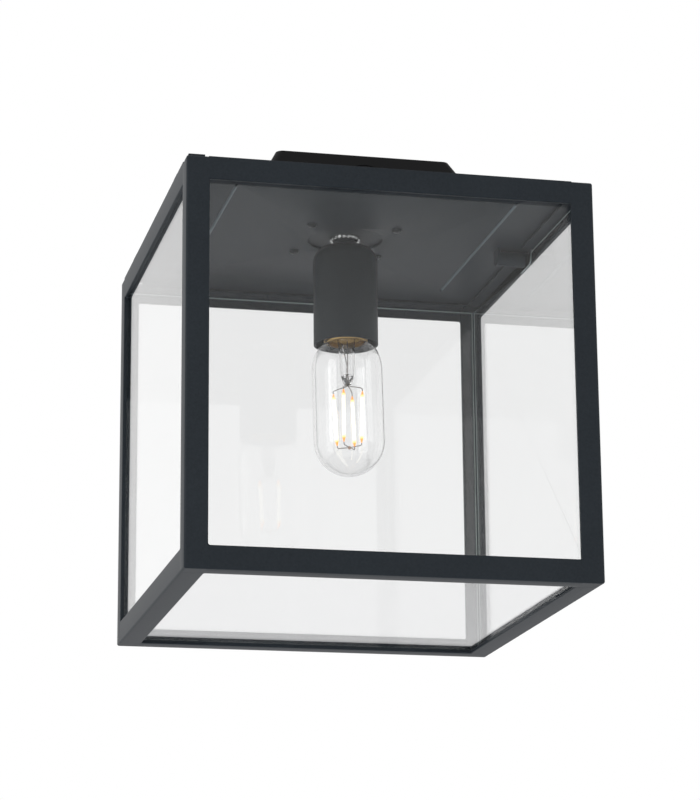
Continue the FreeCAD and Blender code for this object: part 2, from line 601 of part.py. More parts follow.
def lead(name, label, points):
    """A round insulated lead along a path."""
    radius = value("leadRadius")
    path = leadPath([FreeCAD.Vector(*point) for point in points])
    start = path.Edges[0]
    circle = Part.Circle(start.Vertexes[0].Point, start.tangentAt(start.FirstParameter), radius)
    section = Part.Wire(circle.toShape())
    tube = doc.addObject("Part::Feature", name)
    tube.Shape = path.makePipeShell([section], True, False)
    piece(tube, label)


def makeLeads():
    """Live and neutral leads from the lampholder through the nipple, and the earth lead."""
    insertTop = value(f"{holderTop} - holderShoulder - 2")
    plateZ, blockFace = value(plateTop), value("blockBack - blockDeep / 2")
    entryZ = plateZ + value("blockTall") / 3
    arch = plateZ + value("locknutTall") + 11
    for name, side in (("live", -1), ("neutral", 1)):
        out = side * value("blockLong / 3")
        beside = side * (value("leadRadius") + 0.3)
        points = [(beside, 0, insertTop), (beside, 0, arch), (beside + side * 3, 12, arch + 3),
                  (out, blockFace - 9, arch - 4), (out, blockFace - 5, entryZ), (out, blockFace, entryZ)]
        lead(name.title() + "Lead", name + "_lead", points)
    earth = value("earthSide")
    top = plateZ + value("screwHeadTall + leadRadius")
    blockEnd, blockMiddle = value("blockLong / 2"), value("blockBack + blockDeep / 4")
    points = [(earth, 0, top), (earth - 1, 12, top + 2), (earth - 7, blockMiddle - 10, top + 4),
              (blockEnd + 9, blockMiddle, entryZ), (blockEnd, blockMiddle, entryZ)]
    lead("EarthLead", "earth_lead", points)


# ---- lampholder ----------------------------------------------------------------------------------

def hexagon(flats):
    """Corners of a hexagon across its flats, as expressions."""
    radius = f"({flats} / 2 / 0.8660254)"
    return [(f"{radius} * {math.cos(math.radians(a)):.6f}", f"{radius} * {math.sin(math.radians(a)):.6f}")
            for a in range(0, 360, 60)]


def makeNipple():
    """The threaded tube through the plate, its locknut above and the toothed nut below."""
    low = nippleLow
    high = f"({plateTop} + recessDeep + locknutTall + 3)"
    profile = [("nippleBore", "0"), ("nippleRadius", "0"), ("nippleRadius", f"{high} - {low}"),
               ("nippleBore", f"{high} - {low}")]
    piece(place(turned("Nipple", profile), z=low), "nipple")
    hexBody = place(extruded("LocknutHex", "XY_Plane", hexagon("locknutFlats"), "locknutTall"),
                    z=f"{plateTop} + recessDeep")
    bore = rod("LocknutBore", "nippleRadius", "3 * locknutTall", "0", "0", f"{plateTop} + recessDeep - locknutTall")
    piece(cut("Locknut", hexBody, bore), "nipple_locknut")
    ring = turned("NutRing", [("nippleRadius", "0"), ("nutRadius - 1.6", "0"), ("nutRadius", "1"),
                              ("nutRadius", "nutTall"), ("nippleRadius", "nutTall")])
    place(ring, z=nutUnder)
    teeth = []
    count = int(value("nutTeeth"))
    for index in range(count):
        angle = 360.0 * index / count
        tooth = rod(f"NutGap{index}", "0.8", "1.2", f"nutRadius * {math.cos(math.radians(angle)):.6f}",
                    f"nutRadius * {math.sin(math.radians(angle)):.6f}", f"{nutUnder} - 0.2")
        teeth.append(tooth)
    piece(cut("ToothedNut", ring, *teeth), "serrated_nut")
    piece(place(turned("Neck", [("nippleRadius", "0"), ("neckRadius", "0"), ("neckRadius", "neckTall"),
                                ("nippleRadius", "neckTall")]), z=neckUnder), "lampholder_neck")


def domed(name, radius, tall, low, shoulder):
    """A round bar with its top edge rounded over."""
    body = turned(name, [("0", "0"), (radius, "0"), (radius, tall), ("0", tall)])
    roundEdges(body, shoulder, lambda edge: edge.Closed and edge.CenterOfMass.z > value(tall) - near)
    return place(body, z=low)


def makeHolder():
    """The plain round cover, the insert inside it, the threaded shell and the contact tongue."""
    solid = domed("Cover", "holderRadius", "holderTall", holderRim, "holderShoulder")
    hollow = domed("CoverHollow", "holderRadius - holderWall", "holderTall - holderWall", holderRim,
                   "holderShoulder - holderWall")
    hole = rod("CoverHole", "nippleRadius", "3 * holderWall", "0", "0", f"{holderTop} - 2 * holderWall")
    piece(cut("HolderCover", solid, hollow, hole), "lampholder_cover")
    insertTop = f"({holderTop} - holderShoulder)"
    body = rod("InsertSolid", "holderRadius - holderWall", "insertTall", "0", "0", f"{insertTop} - insertTall")
    collar = rod("InsertCollar", "collarRadius", "holderShoulder - holderWall", "0", "0", insertTop)
    thread = rod("InsertThread", "nippleRadius", "holderShoulder", "0", "0", nippleLow)
    passage = rod("InsertPassage", "nippleBore", "3 * insertTall", "0", "0", f"{insertTop} - 2 * insertTall")
    screwEdges = [rod(f"InsertScrewWell{side}", "2.2", "6", f"{side} * 12.5", "0", f"{insertTop} - 6")
                  for side in (-1, 1)]
    insert = fuse("InsertWhole", body, collar)
    piece(cut("HolderInsert", insert, thread, passage, *screwEdges), "lampholder_insert")
    heads = [rod(f"HolderScrew{side}", "2.2", "4", f"{side} * 12.5", "0", f"{insertTop} - 6")
             for side in (-1, 1)]
    piece(group("HolderScrews", *heads), "lampholder_screws")
    makeShell(f"{insertTop} - insertTall")
    tongueZ = f"({tipTop} + tipGap)"
    tongue = box("TongueFlat", "2 * tongueWide", "tongueWide", "tongueWall", "-tongueWide / 2",
                 "-tongueWide / 2", tongueZ)
    leg = box("TongueLeg", "tongueWall", "tongueWide", f"{insertTop} - insertTall - {tongueZ}",
              "tongueWide * 1.5 - tongueWall",
              "-tongueWide / 2", tongueZ)
    piece(fuse("Tongue", tongue, leg), "centre_contact")


def makeShell(top):
    """The female screw shell: a ribbed brass sleeve under the insert, and the outer sleeve that backs it."""
    turns = int(value("(shellTall - 3) / threadPitch"))
    inner, outer = [], []
    for index in range(turns):
        low = f"{index} * threadPitch"
        half = f"{low} + threadPitch / 2"
        inner += [("shellBore", low), ("shellBore + shellRib", half)]
        outer += [("shellBore + shellWall", low), ("shellBore + shellRib + shellWall", half)]
    flangeLow = "shellTall - shellWall * 2"
    flange = [("shellBore", "shellTall"), ("holderRadius - holderWall", "shellTall"),
              ("holderRadius - holderWall", flangeLow), ("shellBore + shellWall", flangeLow)]
    profile = inner + flange + outer[::-1]
    piece(place(turned("ScrewShell", profile), z=f"{top} - shellTall"), "screw_shell")


# ---- bulb ----------------------------------------------------------------------------------------

def leaning(thing, level):
    """Place a piece of the bulb on its axis, which leans a little in the holder's thread."""
    place(thing, x=f"({leanPivot} - {level}) * sin(bulbLean)", z=level, turn=-value("bulbLean"), axis=(0, 1, 0))
    return thing


def makeBulbCap():
    """The brass cap with its screw ribs, the black insulator on it and the end contact."""
    ribs = []
    turns = int(value("(capTall - 8) / threadPitch"))
    for index in range(turns):
        low = f"4 + {index} * threadPitch"
        ribs += [("capRadius - shellRib * 2", low), ("capRadius", f"{low} + threadPitch / 2")]
    shoulder = f"4 + {turns} * threadPitch"
    profile = [("neckGlassRadius", "0"), ("capRadius", "0"), ("capRadius", "3")] + ribs
    profile += [("capRadius - shellRib * 2", shoulder), ("tipRadius + 3", "capTall - 1"),
                ("tipRadius + 3 - capWall", "capTall - 1 - capWall"),
                ("capRadius - shellRib * 2 - capWall", f"{shoulder} - capWall"),
                ("capRadius - shellRib * 2 - capWall", "3.6"), ("neckGlassRadius", "2.7")]
    piece(leaning(turned("BulbCap", profile), capRim), "bulb_cap")
    collar = leaning(turned("InsulatorSolid", [("0", "0"), ("tipRadius + 3 - capWall", "0"),
                                               ("tipRadius + 3 - capWall", "0.3"), ("tipRadius", "1.5"),
                                               ("0", "1.5")]), f"({capTop} - 1.3)")
    seat = rod("InsulatorBore", "tipRadius - 1", "8", "0", "0", f"{capTop} - 5")
    piece(cut("Insulator", collar, seat), "bulb_insulator")
    tip = turned("TipContact", [("0", "0"), ("tipRadius - 1.05", "0"), ("tipRadius - 1.05", "tipTall * 0.7"),
                                ("2", "tipTall + 0.8"), ("0", "tipTall + 0.8")])
    piece(place(tip, z=f"{capTop} - 0.8"), "bulb_contact")


def envelopeLine(inset):
    """Profile of the envelope at a depth under its outside: half-ball tip, straight wall, shoulder, neck."""
    rim, tall = value(capRim), value("shoulderTall")
    radius, neck, low = value("glassRadius") - inset, value("neckGlassRadius") - inset, value(bulbLow) + inset
    tip = FreeCAD.Vector(0, 0, low)
    slant = radius * math.sqrt(0.5)
    quarter = FreeCAD.Vector(slant, 0, low + radius - slant)
    wallLow = FreeCAD.Vector(radius, 0, low + radius)
    wallTop = FreeCAD.Vector(radius, 0, rim - tall)
    bulge = [(0.09, 0.58), (0.35, 0.25), (0.66, 0.095)]
    knees = [FreeCAD.Vector(radius - (radius - neck) * inward, 0, rim - tall * down) for inward, down in bulge]
    neckLow = FreeCAD.Vector(neck, 0, rim - 0.3)
    curve = Part.BSplineCurve()
    curve.interpolate([wallTop] + knees + [neckLow], InitialTangent=FreeCAD.Vector(0, 0, tall),
                      FinalTangent=FreeCAD.Vector(-2, 0, 4))
    neckTop = FreeCAD.Vector(neck, 0, rim + 2.5)
    return [Part.Arc(tip, quarter, wallLow).toShape(), Part.LineSegment(wallLow, wallTop).toShape(),
            curve.toShape(), Part.LineSegment(neckLow, neckTop).toShape()]


def makeEnvelope():
    """The clear tubular glass, open inside, held in the cap by its neck."""
    solids = []
    for inset in (0, value("envelopeWall")):
        line = envelopeLine(inset)
        top = line[-1].Vertexes[-1].Point
        axis = FreeCAD.Vector(0, 0, top.z)
        tip = line[0].Vertexes[0].Point
        ends = [Part.LineSegment(top, axis).toShape(), Part.LineSegment(axis, tip).toShape()]
        face = Part.Face(Part.Wire(line + ends))
        solids.append(face.revolve(FreeCAD.Vector(), FreeCAD.Vector(0, 0, 1), 360))
    feature("BulbGlass", "bulb_glass", solids[0].cut(solids[1]))


def stickEnds():
    """Low and high end of each LED stick, as the four lean in towards the bulb's tip."""
    high, low = value(stickTop), value(f"{stickTop} - stickLong")
    ends = []
    for index in range(4):
        points = []
        for ring, turn, level in (("stickLowRing", "stickLowTurn", low), ("stickTopRing", "stickTopTurn", high)):
            angle = math.radians(90 * index - value(turn))
            points.append(FreeCAD.Vector(value(ring) * math.cos(angle), value(ring) * math.sin(angle), level))
        ends.append(points)
    return ends


def bar(start, end, radius):
    """A round bar between two points."""
    return Part.makeCylinder(radius, (end - start).Length, start, end - start)


def feature(name, label, shape):
    """A piece of the bulb whose shape is made here from the sheet's sizes, on the leaning axis."""
    made = doc.addObject("Part::Feature", name)
    shape.rotate(FreeCAD.Vector(0, 0, value(leanPivot)), FreeCAD.Vector(0, 1, 0), -value("bulbLean"))
    made.Shape = shape
    piece(made, label)


def makeFilaments():
    """Glass stem, four LED sticks and the wires that carry them."""
    rim, stem = value(capRim), value("stemRadius")
    low = rim - value("stemLong")
    down = FreeCAD.Vector(0, 0, -1)
    neck = value("neckGlassRadius - envelopeWall")
    flare = Part.makeCone(neck, stem, 8.0, FreeCAD.Vector(0, 0, rim + 2), down)
    tube = Part.makeCylinder(stem, rim - 6 - (low + 7), FreeCAD.Vector(0, 0, low + 7))
    press = Part.makeCone(stem, stem / 2, 7.0, FreeCAD.Vector(0, 0, low + 7), down)
    glass = flare.multiFuse([tube, press]).removeSplitter()
    ends = stickEnds()
    sticks = [bar(start, end, value("stickRadius")) for start, end in ends]
    wire = value("wireRadius")
    hub = FreeCAD.Vector(0, 0, low)
    foot = FreeCAD.Vector(0, 0, ends[0][0].z - 2)
    upper = [bar(hub, end, wire) for _, end in ends] + [Part.makeSphere(2 * wire, hub)]
    lower = [bar(foot, start, wire) for start, _ in ends] + [Part.makeSphere(2 * wire, foot)]
    wires = [upper[0].multiFuse(upper[1:]).cut([glass] + sticks), lower[0].multiFuse(lower[1:]).cut(sticks)]
    feature("Wires", "filament_wires", Part.makeCompound(wires))
    feature("Stem", "bulb_stem", glass)
    feature("Sticks", "filament_sticks", Part.makeCompound(sticks))


# ---- clamp on the right --------------------------------------------------------------------------

def makeClamp():
    """The lug under the roof plate, and the screw that clamps the cage's right rail to it."""
    tab = box("LugTab", "tabWall", "tabWide", f"{plateUnder} - {lugZ}", f"{lugX} - tabWall", "-tabWide / 2", lugZ)
    rounding = rod("LugTabEnd", "tabWide / 2", "tabWall", f"{lugX} - tabWall", "0", lugZ, "x")
    bush = rod("LugBush", "lugRadius", f"{halfWide} - lipDeep - 0.8 - {lugX}", lugX, "0", lugZ, "x")
    nose = rod("LugNose", "lugNose", f"{noseX} - {lugX}", lugX, "0", lugZ, "x")
    bore = rod("LugBore", "clampRadius + clampPlay", f"2 * ({noseX} - {lugX})", f"{lugX} + 3", "0", lugZ, "x")
    piece(cut("ClampLug", fuse("LugSolid", tab, rounding, bush, nose), bore), "clamp_lug")
    outside = f"({halfWide} + washerGap)"
    ring = rod("WasherSolid", "clampHeadRadius + washerRim", "washerWall", outside, "0", lugZ, "x")
    hole = rod("WasherHole", "clampRadius + clampPlay", "3 * washerWall", f"{outside} - washerWall", "0", lugZ, "x")
    piece(cut("ClampWasher", ring, hole), "clamp_washer")
    head = rod("ClampHead", "clampHeadRadius", "clampHeadTall", f"{outside} + washerWall", "0", lugZ, "x")
    shank = rod("ClampShank", "clampRadius", f"{outside} + washerWall - {lugX} - 6", f"{lugX} + 6", "0", lugZ, "x")
    socket = place(extruded("ClampSocket", "XY_Plane", hexagon("clampRadius * 1.3"), "clampHeadTall"),
                   f"{outside} + washerWall + clampHeadTall * 0.4", "0", lugZ, 90, (0, 1, 0))
    piece(cut("ClampScrew", fuse("ClampSolid", head, shank), socket), "clamp_screw")


def build():
    """Make every sub-part."""
    makeFrame()
    makeStraps()
    makePanes()
    makeRoofPlate()
    makeSeal()
    makeRoofScrews()
    makeKnuckles()
    makeHinge()
    makeTerminalBox()
    makeBoxTrim()
    makeTerminalBlock()
    makeLeads()
    makeNipple()
    makeHolder()
    makeBulbCap()
    makeEnvelope()
    makeFilaments()
    makeClamp()
    doc.recompute()


def checkAndWrite():
    """Stop on any failed object or shape, then write one STEP file per sub-part."""
    for thing in doc.Objects:
        if "Invalid" in thing.State or "Error" in thing.State:
            raise RuntimeError(f"{thing.Name} failed: {thing.State}")
    for thing in pieces:
        if thing.Shape.isNull() or not thing.Shape.isValid() or thing.Shape.Volume <= 0:
            raise RuntimeError(f"{thing.Label} has no valid solid")
    os.makedirs("parts", exist_ok=True)
    for thing in pieces:
        thing.Shape.exportStep(f"parts/{thing.Label}.step")
        print(f"{thing.Label}: {len(thing.Shape.Solids)} solid(s), {thing.Shape.Volume:.1f} mm3")


build()
checkAndWrite()
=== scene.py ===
import math

import bmesh
import bpy
import numpy as np
from mathutils import Matrix, Vector


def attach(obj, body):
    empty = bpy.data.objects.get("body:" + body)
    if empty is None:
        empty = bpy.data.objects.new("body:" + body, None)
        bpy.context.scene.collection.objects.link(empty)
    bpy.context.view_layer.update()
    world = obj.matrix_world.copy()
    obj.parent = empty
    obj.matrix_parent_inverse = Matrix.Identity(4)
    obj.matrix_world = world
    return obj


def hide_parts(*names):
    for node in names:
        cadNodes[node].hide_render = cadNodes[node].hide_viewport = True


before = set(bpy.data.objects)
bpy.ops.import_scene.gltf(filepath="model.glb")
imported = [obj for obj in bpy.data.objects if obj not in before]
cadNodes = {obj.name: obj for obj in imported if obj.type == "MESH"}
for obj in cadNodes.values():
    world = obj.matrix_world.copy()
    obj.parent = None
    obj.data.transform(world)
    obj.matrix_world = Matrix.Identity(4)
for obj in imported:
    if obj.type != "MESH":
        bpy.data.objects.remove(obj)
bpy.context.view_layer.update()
print("frame loaded:", len(cadNodes), "nodes")

# lengths in metres; the ceiling face is z = 0
cage = {
    "wide": 0.250, "deep": 0.260, "tall": 0.248, "top": -0.0345,
    "face": 0.014, "lip": 0.0025, "wall": 0.0015, "fold": 0.0014,
    "edgeFold": 0.0006, "cutEdge": 0.0002, "bendSteps": 6,
    "shelfDrop": 0.0045, "shelfWide": 0.0112, "capSide": 0.010, "capRise": 0.0012,
    "notchWide": 0.028, "slotHalf": 0.0023, "lugDrop": 0.009, "endGap": 0.00002, "weld": 0.0013,
    "sink": 0.0002, "weldSink": 0.0001, "weldShort": 0.0003,
}
cage["bottom"] = cage["top"] - cage["tall"]


# mesh helpers

def asMesh(name, points, faces, sharpDegrees=35):
    # Points and faces become a mesh with doubles merged, faces outward and smooth below an angle.
    mesh = bpy.data.meshes.new(name)
    mesh.from_pydata(points.tolist(), [], faces)
    work = bmesh.new()
    work.from_mesh(mesh)
    bmesh.ops.remove_doubles(work, verts=work.verts, dist=1e-7)
    bmesh.ops.dissolve_degenerate(work, edges=work.edges, dist=1e-7)
    bmesh.ops.recalc_face_normals(work, faces=work.faces)
    work.to_mesh(mesh)
    work.free()
    mesh.shade_smooth()
    mesh.set_sharp_from_angle(angle=math.radians(sharpDegrees))
    return mesh


def asPiece(name, mesh, body, finish, replaced=()):
    # An object at the world origin that rides on a body and may stand for CAD nodes.
    made = bpy.data.objects.new(name, mesh)
    bpy.context.scene.collection.objects.link(made)
    for one in finish if isinstance(finish, (list, tuple)) else [finish]:
        made.data.materials.append(one)
    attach(made, body)
    if replaced:
        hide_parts(*replaced)
    return made


def joined(parts):
    # Several (points, faces) sets as one, with the face numbers moved up.
    points, faces, count = [], [], 0
    for partPoints, partFaces in parts:
        points.append(partPoints)
        faces += [[number + count for number in face] for face in partFaces]
        count += len(partPoints)
    return np.concatenate(points), faces


def gridFaces(rows, columns, wrapRows=False, wrapColumns=False):
    # Quads between neighbouring rows and columns of a grid, joined round where asked.
    row = np.arange(rows if wrapRows else rows - 1)[:, None]
    column = np.arange(columns if wrapColumns else columns - 1)[None, :]
    nextRow, nextColumn = (row + 1) % rows, (column + 1) % columns
    corners = [row * columns + column, row * columns + nextColumn,
               nextRow * columns + nextColumn, nextRow * columns + column]
    quads = np.stack([np.broadcast_to(corner, (row.size, column.size)) for corner in corners], -1)
    return quads.reshape(-1, 4).tolist()


def roundedOutline(corners, radii, steps):
    # Each corner is swapped for an arc that touches both its sides, at r / tan(half angle) from it.
    corner = np.array(corners, float)
    radius = np.array(radii, float)[:, None]
    back = np.roll(corner, 1, 0) - corner
    ahead = np.roll(corner, -1, 0) - corner
    back /= np.linalg.norm(back, axis=1, keepdims=True)
    ahead /= np.linalg.norm(ahead, axis=1, keepdims=True)
    half = np.arccos(np.clip((back * ahead).sum(1, keepdims=True), -1, 1)) / 2
    middle = back + ahead
    middle /= np.linalg.norm(middle, axis=1, keepdims=True)
    centre = corner + middle * radius / np.sin(half)
    start = (corner + back * radius / np.tan(half) - centre) / radius
    end = (corner + ahead * radius / np.tan(half) - centre) / radius
    sweep = np.pi - 2 * half[:, :, None]
    share = np.linspace(0, 1, steps)[None, :, None]
    leaving, coming = np.sin((1 - share) * sweep), np.sin(share * sweep)
    arc = (leaving * start[:, None] + coming * end[:, None]) / np.sin(sweep)
    return (centre[:, None] + arc * radius[:, :, None]).reshape(-1, 2)


def extruded(outline, origin, across, up, along, length):
    # The outline's two numbers run across and up; the far end lies a length along.
    origin, across, up, along = (np.array(v, float) for v in (origin, across, up, along))
    near = origin + outline[:, :1] * across + outline[:, 1:] * up
    count = len(outline)
    faces = gridFaces(2, count, False, True) + [list(range(count))[::-1], list(range(count, 2 * count))]
    return np.concatenate([near, near + along * length]), faces


def turned(profile, sides=96, spin=None):
    # Radius and height go round Z; spin may change the radius by angle and height.
    profile = np.array(profile, float)
    angle = np.linspace(0, 2 * np.pi, sides, endpoint=False)[None, :]
    radius, height = profile[:, :1], profile[:, 1:]
    if spin is not None:
        radius = spin(radius, height, angle)
    grid = np.stack([radius * np.cos(angle), radius * np.sin(angle), height + 0 * angle], -1)
    return grid.reshape(-1, 3), grid.shape[:2]


def turnedFaces(shape, closedProfile):
    # Faces of a turned grid; a closed profile joins its last ring to its first.
    return gridFaces(shape[0], shape[1], closedProfile, True)


def tube(path, radius, sides=10, capped=True):
    # A circle carried along a path: its plane is square to the path's direction at each point.
    path = np.array(path, float)
    direction = np.gradient(path, axis=0)
    direction /= np.linalg.norm(direction, axis=1, keepdims=True)
    guide = np.array([0.31, 0.83, 0.46])
    side = np.cross(direction, guide)
    side /= np.linalg.norm(side, axis=1, keepdims=True)
    other = np.cross(direction, side)
    angle = np.linspace(0, 2 * np.pi, sides, endpoint=False)[None, :, None]
    reach = np.broadcast_to(np.array(radius, float).reshape(-1, 1, 1), (len(path), 1, 1))
    ring = path[:, None] + reach * (np.cos(angle) * side[:, None] + np.sin(angle) * other[:, None])
    faces = gridFaces(len(path), sides, False, True)
    if capped:
        last = (len(path) - 1) * sides
        faces += [list(range(sides))[::-1], list(range(last, last + sides))]
    return ring.reshape(-1, 3), faces


def smoothPath(points, perRun=8):
    # A Catmull-Rom line: it passes through every point with a smooth direction.
    points = np.array(points, float)
    padded = np.vstack([2 * points[0] - points[1], points, 2 * points[-1] - points[-2]])
    share = np.linspace(0, 1, perRun, endpoint=False)[None, :, None]
    p0, p1, p2, p3 = (padded[k:len(padded) - 3 + k][:, None] for k in range(4))
    line = 0.5 * (2 * p1 + (p2 - p0) * share + (2 * p0 - 5 * p1 + 4 * p2 - p3) * share ** 2
                  + (3 * p1 - p0 - 3 * p2 + p3) * share ** 3)
    return np.vstack([line.reshape(-1, 3), points[-1:]])


def softened(name, width, body, finish, segments=2, sharpDegrees=30):
    # A merged copy of a CAD node with its flat faces joined and its sharp edges eased.
    source = cadNodes[name]
    work = bmesh.new()
    work.from_mesh(source.data)
    bmesh.ops.remove_doubles(work, verts=work.verts, dist=1e-7)
    bmesh.ops.dissolve_limit(work, angle_limit=math.radians(0.5), verts=work.verts, edges=work.edges)
    mesh = bpy.data.meshes.new(name + "_soft")
    work.to_mesh(mesh)
    work.free()
    mesh.materials.clear()
    made = asPiece(name + "_soft", mesh, body, finish, (name,))
    ease = made.modifiers.new("ease", "BEVEL")
    ease.width = width
    ease.segments = segments
    ease.limit_method = "ANGLE"
    ease.angle_limit = math.radians(sharpDegrees)
    ease.use_clamp_overlap = True
    ease.miter_outer = "MITER_ARC"
    mesh.shade_smooth()
    mesh.set_sharp_from_angle(angle=math.radians(sharpDegrees))
    return made


# shader helpers

class Wire:
    # One output socket; sums and products with numbers or other wires add Math nodes.
    def __init__(self, tree, socket=None):
        self.tree, self.socket = tree, socket

    def add(self, kind, settings=None, inputs=None, take=0):
        made = self.tree.nodes.new("ShaderNode" + kind)
        for name, setting in (settings or {}).items():
            if name == "stops":
                ramp = made.color_ramp.elements
                while len(ramp) < len(setting):
                    ramp.new(0.5)
                for element, (place, colour) in zip(ramp, setting):
                    element.position, element.color = place, colour
            else:
                setattr(made, name, setting)
        for name, value in (inputs or {}).items():
            if isinstance(value, Wire):
                self.tree.links.new(value.socket, made.inputs[name])
            else:
                made.inputs[name].default_value = value
        return Wire(self.tree, made.outputs[take])

    def maths(self, operation, first, second=0.0):
        return self.add("Math", {"operation": operation}, {0: first, 1: second})

    def __add__(self, other):
        return self.maths("ADD", self, other)

    def __mul__(self, other):
        return self.maths("MULTIPLY", self, other)

    def __sub__(self, other):
        return self.maths("SUBTRACT", self, other)

    def __rsub__(self, other):
        return self.maths("SUBTRACT", other, self)

    __radd__ = __add__
    __rmul__ = __mul__

    def orElse(self, other):
        # The larger of two wires.
        return self.maths("MAXIMUM", self, other)

    def mixed(self, low, high):
        # A colour from low to high as this wire goes from 0 to 1.
        return self.add("Mix", {"data_type": "RGBA"}, {0: self, 6: low, 7: high}, 2)


def colour(red, green, blue):
    # A screen colour of 0 to 255 as linear light.
    screen = np.array([red, green, blue], float) / 255
    light = np.where(screen <= 0.04045, screen / 12.92, ((screen + 0.055) / 1.055) ** 2.4)
    return (*light.tolist(), 1.0)


def rayKinds(tree, *kinds):
    # One wire for each named kind of ray: 1 where the ray is of that kind, otherwise 0.
    rays = tree.nodes.new("ShaderNodeLightPath")
    return [Wire(tree, rays.outputs["Is " + kind + " Ray"]) for kind in kinds]


def finishOf(name, recipe, seeThrough=False):
    # A material whose shader sockets take the numbers and wires that the recipe gives.
    material = bpy.data.materials.new(name)
    material.use_nodes = True
    tree = material.node_tree
    shader = tree.nodes["Principled BSDF"]
    start = Wire(tree)
    for socket, value in recipe(start).items():
        if isinstance(value, Wire):
            tree.links.new(value.socket, shader.inputs[socket])
        else:
            shader.inputs[socket].default_value = value
    if seeThrough:
        # shadows and soft light pass straight through, with the tint of one sheet
        shadow, diffuse = rayKinds(tree, "Shadow", "Diffuse")
        clear = start.add("BsdfTransparent", None, {0: (0.96, 0.97, 0.97, 1)})
        glass = Wire(tree, shader.outputs[0])
        both = start.add("MixShader", None, {0: shadow.orElse(diffuse), 1: glass, 2: clear})
        tree.links.new(both.socket, tree.nodes["Material Output"].inputs["Surface"])
    return material


def noise(start, scale, detail=2.0, roughness=0.5, stretch=None):
    # Noise on the piece's own coordinates, from 0 to 1.
    place = start.add("TexCoord", None, None, "Object")
    if stretch:
        place = start.add("Mapping", None, {"Vector": place, "Scale": stretch})
    inputs = {"Vector": place, "Scale": scale, "Detail": detail, "Roughness": roughness}
    return start.add("TexNoise", None, inputs)


def bump(start, height, strength, distance):
    # A bumped normal from a height wire.
    return start.add("Bump", None, {"Strength": strength, "Distance": distance, "Height": height})


def powderCoat(name, dark, light, rough):
    # Fine orange-peel powder coat: a grain of about half a millimetre over slow cloudiness.
    def recipe(start):
        grain = noise(start, 850, 3, 0.6)
        cloud = noise(start, 18, 2)
        return {"Base Color": (grain * 0.7 + cloud * 0.3).mixed(dark, light),
                "Roughness": grain * 0.12 + (rough - 0.06),
                "Normal": bump(start, grain, 0.05, 0.0001), "Specular IOR Level": 0.07}
    return finishOf(name, recipe)


def moulded(name, dark, light, rough, grainScale=1400, strength=0.05, gloss=0.5):
    # Matt moulded plastic: a fine spark-eroded grain.
    def recipe(start):
        grain = noise(start, grainScale, 2, 0.6)
        cloud = noise(start, 30, 2)
        return {"Base Color": (cloud * 0.7 + grain * 0.3).mixed(dark, light),
                "Roughness": cloud * 0.08 + (rough - 0.04),
                "Specular IOR Level": gloss, "Normal": bump(start, grain, strength, 0.0001)}
    return finishOf(name, recipe)


def plated(name, dark, light, rough, scale=260):
    # Bright metal plate with faint drawing marks and a patchy shine.
    def recipe(start):
        marks = noise(start, scale, 4, 0.6, (1, 1, 6))
        return {"Base Color": marks.mixed(dark, light), "Metallic": 1.0,
                "Roughness": marks * 0.14 + (rough - 0.07),
                "Normal": bump(start, marks, 0.1, 0.0001)}
    return finishOf(name, recipe)


coat = powderCoat("coat", colour(42, 46, 50), colour(60, 65, 70), 0.42)
blackMould = moulded("blackMould", colour(8, 8, 10), colour(13, 13, 15), 0.6, 1400, 0.05, 0.12)
holderMould = moulded("holderMould", colour(37, 42, 45), colour(44, 49, 53), 0.5, 1400, 0.02, 0.15)
rubberBlack = moulded("rubberBlack", colour(20, 20, 20), colour(30, 30, 30), 0.75, 900, 0.4)
whiteMould = moulded("whiteMould", colour(205, 205, 198), colour(222, 221, 214), 0.4)
ceramic = moulded("ceramic", colour(215, 212, 204), colour(232, 230, 223), 0.25, 500, 0.05)
brownSleeve = moulded("brownSleeve", colour(92, 56, 32), colour(110, 68, 40), 0.35)
blueSleeve = moulded("blueSleeve", colour(34, 74, 150), colour(42, 88, 170), 0.35)
greenSleeve = moulded("greenSleeve", colour(80, 140, 50), colour(190, 190, 60), 0.35, 120)
zinc = plated("zinc", colour(150, 152, 152), colour(226, 228, 226), 0.2)
darkScrew = plated("darkScrew", colour(26, 28, 30), colour(60, 64, 66), 0.2)
brass = plated("brass", colour(196, 158, 92), colour(236, 206, 142), 0.3, 420)
wireSteel = plated("wireSteel", colour(110, 102, 98), colour(150, 142, 136), 0.35, 900)
solder = plated("solder", colour(150, 150, 152), colour(190, 190, 192), 0.45, 700)
blackGlass = moulded("blackGlass", colour(14, 14, 16), colour(20, 20, 24), 0.12, 500, 0.03)


def clearGlass(name, dark, light, rough, transmission=1.0):
    # Clear glass with a very slight change of tint over its area, as in drawn sheet glass.
    def recipe(start):
        return {"Base Color": noise(start, 12, 1).mixed(dark, light), "Transmission Weight": transmission,
                "IOR": 1.5, "Roughness": rough, "Specular IOR Level": 0.35}
    return finishOf(name, recipe, True)


paneGlass = clearGlass("paneGlass", (0.945, 0.947, 0.947, 1), (0.955, 0.957, 0.957, 1), 0.0)
groundEdge = clearGlass("groundEdge", (0.6, 0.7, 0.66, 1), (0.75, 0.84, 0.8, 1), 0.4, 0.45)
bulbGlass = clearGlass("bulbGlass", (0.98, 0.98, 0.98, 1), (0.99, 0.99, 0.99, 1), 0.0)


def stickRecipe(start):
    # Warm white along the stick, with amber at both ends; the attribute runs from 0 to 1 along it.
    along = start.add("Attribute", {"attribute_name": "along"}, None, "Fac")
    amber, warm, pale = (0.95, 0.3, 0.03, 1), (1.0, 0.72, 0.32, 1), (1.0, 0.95, 0.8, 1)
    stops = [(0.0, amber), (0.06, amber), (0.1, warm), (0.16, pale),
             (0.84, pale), (0.9, warm), (0.94, amber), (1.0, amber)]
    glow = start.add("ValToRGB", {"stops": stops}, {0: along})
    return {"Base Color": glow, "Roughness": 0.5, "Emission Color": glow, "Emission Strength": 1.3}


